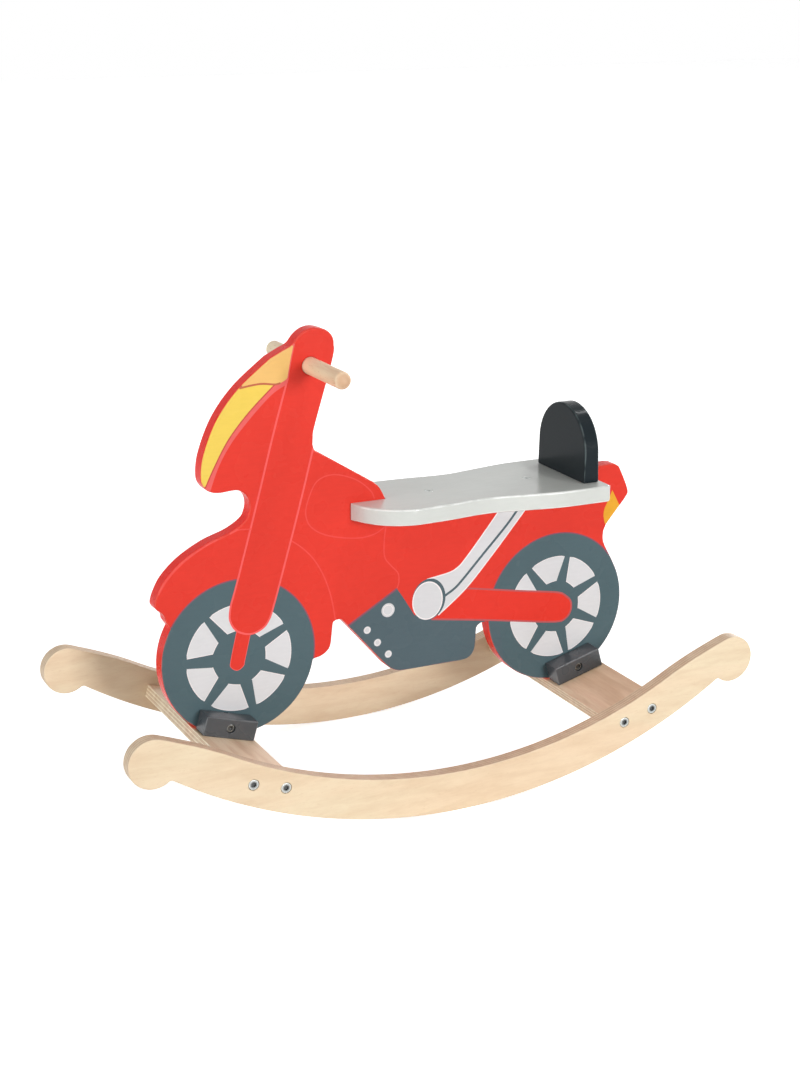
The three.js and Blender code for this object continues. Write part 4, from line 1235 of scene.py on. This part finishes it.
# %% Bolts and sleeve nuts of the wheels
THREAD_OVERLAP = 0.020
# Painted shade: the heads of the wheel bolts and sleeve nuts lie deep in their blocks' recesses, so
# the whole head is darkened, most of all in the socket.
RECESS_SHADE = (0.62, 1)
block_outer_y = block_middle_y + BLOCK_DEPTH / 2
bolt_face = WHEEL_BOLT["recess"] - WHEEL_BOLT["height"] - TOUCH_GAP
nut_head_face = WHEEL_BOLT["recess"] - SLEEVE_NUT["height"] - TOUCH_GAP
wheel_bolt_profile = bolt_profile(
    WHEEL_BOLT["head"], WHEEL_BOLT["height"], WHEEL_BOLT["radius"],
    2 * block_outer_y - SLEEVE_NUT["length"] + THREAD_OVERLAP - bolt_face)
sleeve_length = SLEEVE_NUT["length"] - nut_head_face
bore = WHEEL_BOLT["radius"] + HOLE_CLEARANCE
sleeve_profile = bolt_profile(WHEEL_BOLT["head"], SLEEVE_NUT["height"], SLEEVE_NUT["radius"],
                              sleeve_length)
sleeve_profile[-1:] = [(bore, sleeve_length), (bore, sleeve_length - THREAD_OVERLAP),
                       (0, sleeve_length - THREAD_OVERLAP)]
for end, side in ENDS.items():
    plate(f"{end}_wheel_bolt", wheel_bolt_profile,
          station(side, (0, bolt_face - block_outer_y, -WHEEL_BOLT_DROP)),
          (0.0, 1.0, 0.0), hexagon, RECESS_SHADE)
    plate(f"{end}_sleeve_nut", sleeve_profile,
          station(side, (0, block_outer_y - nut_head_face, -WHEEL_BOLT_DROP)),
          (0.0, -1.0, 0.0), hexagon, RECESS_SHADE)
print(len(fasteners), "fasteners")

# %% [markdown]
# ## Tools for finishes
# A finish is a small net of nodes. These helpers add one node each and return its output, so that
# a net reads like a sum. Every pattern is taken at Object coordinates, in metres, so its scale is
# a real one: a noise of scale 400 has lumps about 2.5 mm wide.


# %% One node at a time
def node(tree, kind, inputs, **settings):
    """Adds a node. An input is a number, a colour or another node's output."""
    made = tree.nodes.new("ShaderNode" + kind)
    for name, value in settings.items():
        setattr(made, name, value)
    for socket, value in inputs.items():
        if isinstance(value, bpy.types.NodeSocket):
            tree.links.new(value, made.inputs[socket])
        else:
            made.inputs[socket].default_value = value
    return made


def calc(tree, operation, *values):
    return node(tree, "Math", dict(enumerate(values)), operation=operation).outputs[0]


def noise(tree, place, scale, detail=2.0, distortion=0.0):
    """Cloudy values round 0.5, with lumps about 1 / scale metres wide."""
    return node(tree, "TexNoise", {"Vector": place, "Scale": scale, "Detail": detail,
                                   "Distortion": distortion}).outputs["Fac"]


def remap(tree, value, low, high, to_low=0.0, to_high=1.0):
    """Moves values between low and high smoothly to a new range. Others get its nearer end."""
    return node(tree, "MapRange", {0: value, 1: low, 2: high, 3: to_low, 4: to_high},
                interpolation_type="SMOOTHSTEP").outputs[0]


def blend(tree, share, first, second, way="MIX"):
    """A mix of two colours, or the second laid over the first in another way."""
    return node(tree, "Mix", {0: share, 6: first, 7: second}, data_type="RGBA",
                blend_type=way).outputs[2]


def stretched(tree, place, scale):
    return node(tree, "Mapping", {"Vector": place, "Scale": scale}).outputs[0]


# %% Groups and materials
def new_group(name, inputs, outputs):
    """An empty node group with named sockets, and its input and output nodes."""
    tree = bpy.data.node_groups.new(name, "ShaderNodeTree")
    for side, sockets in (("INPUT", inputs), ("OUTPUT", outputs)):
        for socket, kind in sockets.items():
            tree.interface.new_socket(name=socket, in_out=side, socket_type="NodeSocket" + kind)
    given, out = tree.nodes.new("NodeGroupInput"), tree.nodes.new("NodeGroupOutput")
    return tree, given.outputs, out.inputs


def fill_group(tree, group, inputs):
    """A group placed in a tree, with its inputs filled. Returns its outputs."""
    return node(tree, "Group", inputs, node_tree=group).outputs


def new_material(name):
    """A material with its tree, its shader's inputs and the place on the piece."""
    material = bpy.data.materials.new(name)
    material.use_nodes = True
    tree = material.node_tree
    place = tree.nodes.new("ShaderNodeTexCoord").outputs["Object"]
    return material, tree, tree.nodes["Principled BSDF"].inputs, place


def mark(tree, name, output="Fac"):
    return node(tree, "Attribute", {}, attribute_name=name).outputs[output]


def raise_grain(tree, shader, height, depth):
    """A bump whose height of 1 stands for a depth in metres."""
    bump = node(tree, "Bump", {"Height": height, "Distance": depth, "Strength": 1.0})
    tree.links.new(bump.outputs["Normal"], shader["Normal"])


def dress(pieces, material, slot):
    """Gives pieces their material, and prints it with the name of what it stands for."""
    for piece in pieces:
        piece.data.materials.append(material)
    print(material.name, "on", len(pieces), "of", slot)


# %% [markdown]
# ## Paint on wood
# Toy enamel is sprayed in two coats. Seen close, it has a fine orange peel, a tone that drifts a
# little from place to place, and eased edges drawn lighter in patches. On the print and the blocks
# that stands partly for edges that hands and feet have rubbed thinner and duller, and partly for a
# painted highlight where the edges catch the light; on the seat and the backrest it is a painted
# highlight. The plies of the board show through on its walls as faint ridges. One group makes the
# film for the print, the seat, the backrest and the blocks, and each sets its own colours and
# gloss.

# %% Plies in a wall
plies, given, out = new_group(
    "plies", {"Depth": "Float", "Count": "Float", "Place": "Vector", "Light": "Color",
              "Dark": "Color", "Glue": "Color"}, {"Color": "Color", "Height": "Float"})
wander = calc(plies, "MULTIPLY_ADD", noise(plies, given["Place"], 14.0), 0.02, given["Depth"])
layer = calc(plies, "MULTIPLY", wander, given["Count"])
odd = calc(plies, "PINGPONG", calc(plies, "FLOOR", layer), 1.0)
seam = calc(plies, "ABSOLUTE", calc(plies, "SUBTRACT", calc(plies, "FRACT", layer), 0.5))
seam = remap(plies, seam, 0.40, 0.49)
streak = remap(plies, noise(plies, given["Place"], 90.0, 3.0), 0.3, 0.7)
share = calc(plies, "MULTIPLY_ADD", streak, 0.35, calc(plies, "MULTIPLY", odd, 0.55))
wood = blend(plies, share, given["Light"], given["Dark"])
glued = calc(plies, "MULTIPLY", seam, 0.65)
plies.links.new(blend(plies, glued, wood, given["Glue"]), out["Color"])
hollow = calc(plies, "MULTIPLY_ADD", seam, 0.6, calc(plies, "MULTIPLY", streak, 0.4))
plies.links.new(calc(plies, "SUBTRACT", 1.0, hollow), out["Height"])

# %% A film of paint
ALONG_X = (0.2, 1, 1)
film, given, out = new_group(
    "paint film", {"Paint": "Color", "Edge sheen and wear": "Color", "Sheen and wear": "Float", "Gloss": "Float",
                   "Place": "Vector", "Wall": "Float", "Ridges": "Float"},
    {"Color": "Color", "Roughness": "Float", "Height": "Float"})
drift = remap(film, noise(film, given["Place"], 7.0), 0.25, 0.75, 0.955, 1.02)
along = stretched(film, given["Place"], ALONG_X)
speck = remap(film, noise(film, along, 300.0, 4.0), 0.3, 0.7, 0.975, 1.005)
tone = blend(film, 1.0, given["Paint"], calc(film, "MULTIPLY", drift, speck), "MULTIPLY")
off_edge = calc(film, "ABSOLUTE", calc(film, "MULTIPLY_ADD", given["Wall"], 2.0, -1.0))
edge = calc(film, "SUBTRACT", 1.0, off_edge)
# Lighter eased edges: partly rubbed wear, partly a painted highlight along the edge.
edge_sheen_and_wear = remap(film, noise(film, given["Place"], 60.0, 4.0), 0.3, 0.62)
edge_sheen_and_wear = calc(film, "MULTIPLY", calc(film, "MULTIPLY", edge_sheen_and_wear, edge), given["Sheen and wear"])
film.links.new(blend(film, edge_sheen_and_wear, tone, given["Edge sheen and wear"]), out["Color"])
dull = remap(film, noise(film, given["Place"], 30.0), 0.3, 0.7, -0.03, 0.05)
dull = calc(film, "ADD", dull, calc(film, "MULTIPLY", edge_sheen_and_wear, 0.15))
film.links.new(calc(film, "ADD", given["Gloss"], dull), out["Roughness"])
peel = calc(film, "MULTIPLY", noise(film, given["Place"], 420.0, 1.0), 0.4)
peel = calc(film, "MULTIPLY_ADD", noise(film, along, 300.0, 3.0), 0.5, peel)
ridge = calc(film, "MULTIPLY", calc(film, "MULTIPLY", given["Ridges"], given["Wall"]), 0.5)
film.links.new(calc(film, "ADD", peel, ridge), out["Height"])

# %% [markdown]
# ## Bare wood
# Birch and beech are pale, with long soft figure, finer fibres and short dark pores, all drawn out
# along the grain. The same noise at three scales makes them, in a space that is squeezed along the
# grain. The walls of plywood show the plies instead.

# %% Wood fibres
fibres, given, out = new_group(
    "wood fibres", {"Place": "Vector", "Light": "Color", "Dark": "Color", "Blush": "Color",
                    "Figure": "Float", "Pores": "Float"},
    {"Color": "Color", "Roughness": "Float", "Height": "Float"})
cloud = remap(fibres, noise(fibres, given["Place"], 16.0, 3.0, 0.8), 0.35, 0.7)
band = remap(fibres, noise(fibres, given["Place"], 70.0, 4.0, 0.4), 0.35, 0.68)
hair = remap(fibres, noise(fibres, given["Place"], 420.0, 3.0), 0.3, 0.75)
pore = remap(fibres, noise(fibres, given["Place"], 900.0, 1.0), 0.66, 0.74)
cloud = calc(fibres, "MULTIPLY", cloud, given["Figure"])
wood = blend(fibres, cloud, given["Light"], given["Blush"])
shade = calc(fibres, "MULTIPLY_ADD", hair, 0.22, calc(fibres, "MULTIPLY", band, given["Figure"]))
wood = blend(fibres, calc(fibres, "MULTIPLY", shade, 0.55), wood, given["Dark"])
pore = calc(fibres, "MULTIPLY", pore, given["Pores"])
fibres.links.new(blend(fibres, pore, wood, given["Dark"]), out["Color"])
fibres.links.new(calc(fibres, "MULTIPLY_ADD", hair, 0.14, 0.46), out["Roughness"])
raised = calc(fibres, "SUBTRACT", calc(fibres, "MULTIPLY", hair, 0.6), pore)
fibres.links.new(raised, out["Height"])


# %% Painted pieces
PEEL_DEPTH = 0.00006
SMOOTH_PEEL_DEPTH = 0.00003


def enamel(name, edge_sheen_and_wear, sheen_and_wear, gloss, ply_count, paint=None, shine=0.5, depth=PEEL_DEPTH):
    """Paint over plywood. Without a paint of its own it takes the one that is laid on the mesh."""
    material, tree, shader, place = new_material(name)
    shader["Specular IOR Level"].default_value = shine
    ply = fill_group(tree, plies, {"Depth": mark(tree, "depth"), "Count": ply_count,
                                   "Place": place})
    coat = fill_group(tree, film, {
        "Paint": paint or mark(tree, "paint", "Color"), "Edge sheen and wear": edge_sheen_and_wear, "Sheen and wear": sheen_and_wear,
        "Gloss": gloss, "Place": place, "Wall": mark(tree, "wall"), "Ridges": ply["Height"]})
    tree.links.new(coat["Color"], shader["Base Color"])
    tree.links.new(coat["Roughness"], shader["Roughness"])
    raise_grain(tree, shader, coat["Height"], depth)
    return material


# The edge colours: a painted highlight with some wear on the print and the blocks, and a painted
# highlight alone on the seat and the backrest.
print_paint = enamel("print on the body board", colour(244, 132, 116), 0.4, 0.26, 9.0, shine=0.1)
grey_paint = enamel("grey seat enamel", colour(252, 252, 250), 0.7, 0.22, 9.0,
                    colour(207, 210, 205), depth=SMOOTH_PEEL_DEPTH)
dark_paint = enamel("dark backrest enamel", colour(120, 134, 134), 0.5, 0.18, 9.0,
                    colour(31, 39, 43), shine=0.09)
charcoal_paint = enamel("charcoal block enamel", colour(150, 152, 154), 0.5, 0.28, 11.0,
                        colour(74, 78, 82), shine=0.4)
dress([body], print_paint, "painted_body_board")
dress([seat], grey_paint, "painted_seat")
dress([backrest], dark_paint, "painted_backrest")
dress(blocks, charcoal_paint, "painted_blocks")

# %% Wooden pieces
ALONG_Y = (1, 0.12, 1)
GRAIN_DEPTH = 0.0001


def figured(tree, place, grain, tones, figure, pores):
    """Fibres in light, dark and blush tones, with the pattern squeezed along the grain."""
    light, dark, blush = tones
    return fill_group(tree, fibres, {
        "Place": stretched(tree, place, grain), "Light": light, "Dark": dark, "Blush": blush,
        "Figure": figure, "Pores": pores})


def plywood(name, tones, figure, grain, ply_count, ply_tones):
    """Veneer on the faces, and light, dark and glued plies in the walls."""
    material, tree, shader, place = new_material(name)
    face = figured(tree, place, grain, tones, figure, 0.25)
    light, dark, glue = ply_tones
    wall = fill_group(tree, plies, {"Depth": mark(tree, "depth"), "Count": ply_count,
                                    "Place": place, "Light": light, "Dark": dark, "Glue": glue})
    share = remap(tree, mark(tree, "wall"), 0.12, 0.4)
    tree.links.new(blend(tree, share, face["Color"], wall["Color"]), shader["Base Color"])
    tree.links.new(face["Roughness"], shader["Roughness"])
    height = node(tree, "Mix", {0: share, 2: face["Height"], 3: wall["Height"]}).outputs[0]
    raise_grain(tree, shader, height, GRAIN_DEPTH)
    return material


def solid_wood(name, tones, figure, grain, end_tone):
    """Fibres all over, and end grain where the surface faces along the axis."""
    material, tree, shader, place = new_material(name)
    face = figured(tree, place, grain, tones, figure, 0.6)
    end = remap(tree, mark(tree, "end"), 0.45, 0.95, 0.0, 0.8)
    tree.links.new(blend(tree, end, face["Color"], end_tone), shader["Base Color"])
    tree.links.new(face["Roughness"], shader["Roughness"])
    raise_grain(tree, shader, face["Height"], GRAIN_DEPTH)
    return material


rocker_wood = plywood(
    "birch of the rockers", (colour(232, 214, 182), colour(206, 174, 138), colour(232, 202, 170)),
    0.55, ALONG_X, 9.0, (colour(238, 218, 188), colour(206, 174, 142), colour(160, 124, 96)))
slat_wood = plywood(
    "veneer of the slats", (colour(255, 234, 204), colour(206, 166, 128), colour(242, 210, 178)),
    0.9, ALONG_Y, 7.0, (colour(250, 236, 208), colour(208, 176, 140), colour(142, 106, 76)))
dowel_wood = solid_wood(
    "beech of the handlebar", (colour(255, 240, 208), colour(216, 168, 126), colour(252, 214, 178)),
    0.75, ALONG_Y, colour(196, 152, 116))
dress(rockers, rocker_wood, "rocker_plywood")
dress(slats, slat_wood, "slat_plywood")
dress([handlebar], dowel_wood, "dowel_wood")

# %% Plated fasteners
BLOOM_DEPTH = 0.00002
SOCKET_DARKNESS = 0.88


def zinc():
    """Bright zinc with a faint bloom; sockets and sunk heads are darkened by painted shade, with
    some dirt.
    """
    material, tree, shader, place = new_material("zinc of the fasteners")
    bloom = noise(tree, place, 700.0, 3.0)
    metal = blend(tree, remap(tree, bloom, 0.35, 0.7), colour(212, 216, 214), colour(186, 190, 186))
    # Painted shade with a little dirt: the metal goes towards near black in sockets and sunk heads.
    socket_darkening = calc(tree, "MULTIPLY", mark(tree, "shade_and_dirt"), SOCKET_DARKNESS)
    tree.links.new(blend(tree, socket_darkening, metal, colour(34, 35, 38)), shader["Base Color"])
    tree.links.new(remap(tree, bloom, 0.3, 0.7, 0.26, 0.42), shader["Roughness"])
    shader["Metallic"].default_value = 1.0
    raise_grain(tree, shader, bloom, BLOOM_DEPTH)
    return material


dress(fasteners, zinc(), "fastener_steel")

# %% [markdown]
# ## Light
# In the photograph a big soft lamp stands in front, a little to the right of the toy and hardly
# higher than the camera: the body board's shadow falls to the left on the far rocker, with a soft
# border, and none shows under the seat. Another one lights the walls that face left, and one
# behind lights the far side. Three small ones hang high. They add little to flat faces, but each
# leaves a bright line on the eased edges that mirror it, or a patch on the backrest's round top.
# White walls fill in the rest. The floor is white, and seen directly it glows a little, so that it
# meets the white background and still keeps the shadow.

# %% Lamps
LAMP_DISTANCE = 10.0


def hang_lamp(name, turn, rise, size, share):
    """A square lamp that looks at the middle of the toy from a sphere round it, turned from the
    front to the right and raised by angles in degrees. A lamp of power P at a distance d lights
    a white surface that faces it as P / (pi d)^2 of white, which is the share."""
    turn, rise = math.radians(turn), math.radians(rise)
    level = math.cos(rise)
    towards = Vector((math.sin(turn) * level, -math.cos(turn) * level, math.sin(rise)))
    lamp = put(name, bpy.data.lights.new(name, "AREA"))
    lamp.data.size = size
    lamp.data.energy = share * (math.pi * LAMP_DISTANCE) ** 2
    lamp.location = Vector((0, 0, BODY_HEIGHT / 2)) + towards * LAMP_DISTANCE
    lamp.rotation_euler = towards.to_track_quat("Z", "Y").to_euler()
    print(name, "at", [round(x, 2) for x in lamp.location])


hang_lamp("front_lamp", 14, 10, 2.6, 0.57)
hang_lamp("left_lamp", -80, 14, 4.4, 0.31)
hang_lamp("left_edge_lamp", -36, 37, 0.8, 0.075)
hang_lamp("top_lamp", 46, 66, 0.7, 0.11)
hang_lamp("ceiling_lamp", 114, 57, 0.9, 0.07)
hang_lamp("back_lamp", 130, 14, 3.0, 0.34)


# %% White walls
def seen(tree):
    """1 for a ray from the camera, or one that a glossy or clear surface has sent on."""
    path = tree.nodes.new("ShaderNodeLightPath").outputs
    shiny = calc(tree, "MAXIMUM", path["Is Glossy Ray"], path["Is Transmission Ray"])
    return calc(tree, "MAXIMUM", path["Is Camera Ray"], shiny)


WALL_LIGHT = 0.24
WHITE = (1, 1, 1, 1)
world = bpy.data.worlds.new("white walls")
bpy.context.scene.world = world
world.use_nodes = True
tree = world.node_tree
wall = tree.nodes["Background"].inputs
wall["Color"].default_value = WHITE
strength = node(tree, "MapRange", {0: seen(tree), 3: WALL_LIGHT, 4: 1.0}).outputs[0]
tree.links.new(strength, wall["Strength"])
bpy.context.scene.view_settings.view_transform = "Standard"

# %% The floor
FLOOR_HALF = 12.0
FLOOR_GLOW = 0.68
floor_mesh = bpy.data.meshes.new("floor")
floor_corners = rectangle(2 * FLOOR_HALF, 2 * FLOOR_HALF) @ np.eye(2, 3)
floor_mesh.from_pydata(floor_corners.tolist(), [], [(0, 1, 2, 3)])
floor = put("floor", floor_mesh)
white, tree, shader, place = new_material("white floor")
speckle = noise(tree, place, 40.0)
tree.links.new(remap(tree, speckle, 0.2, 0.8, 0.86, 0.9), shader["Base Color"])
shader["Roughness"].default_value = 0.8
shader["Emission Color"].default_value = WHITE
tree.links.new(calc(tree, "MULTIPLY", seen(tree), FLOOR_GLOW), shader["Emission Strength"])
floor_mesh.materials.append(white)
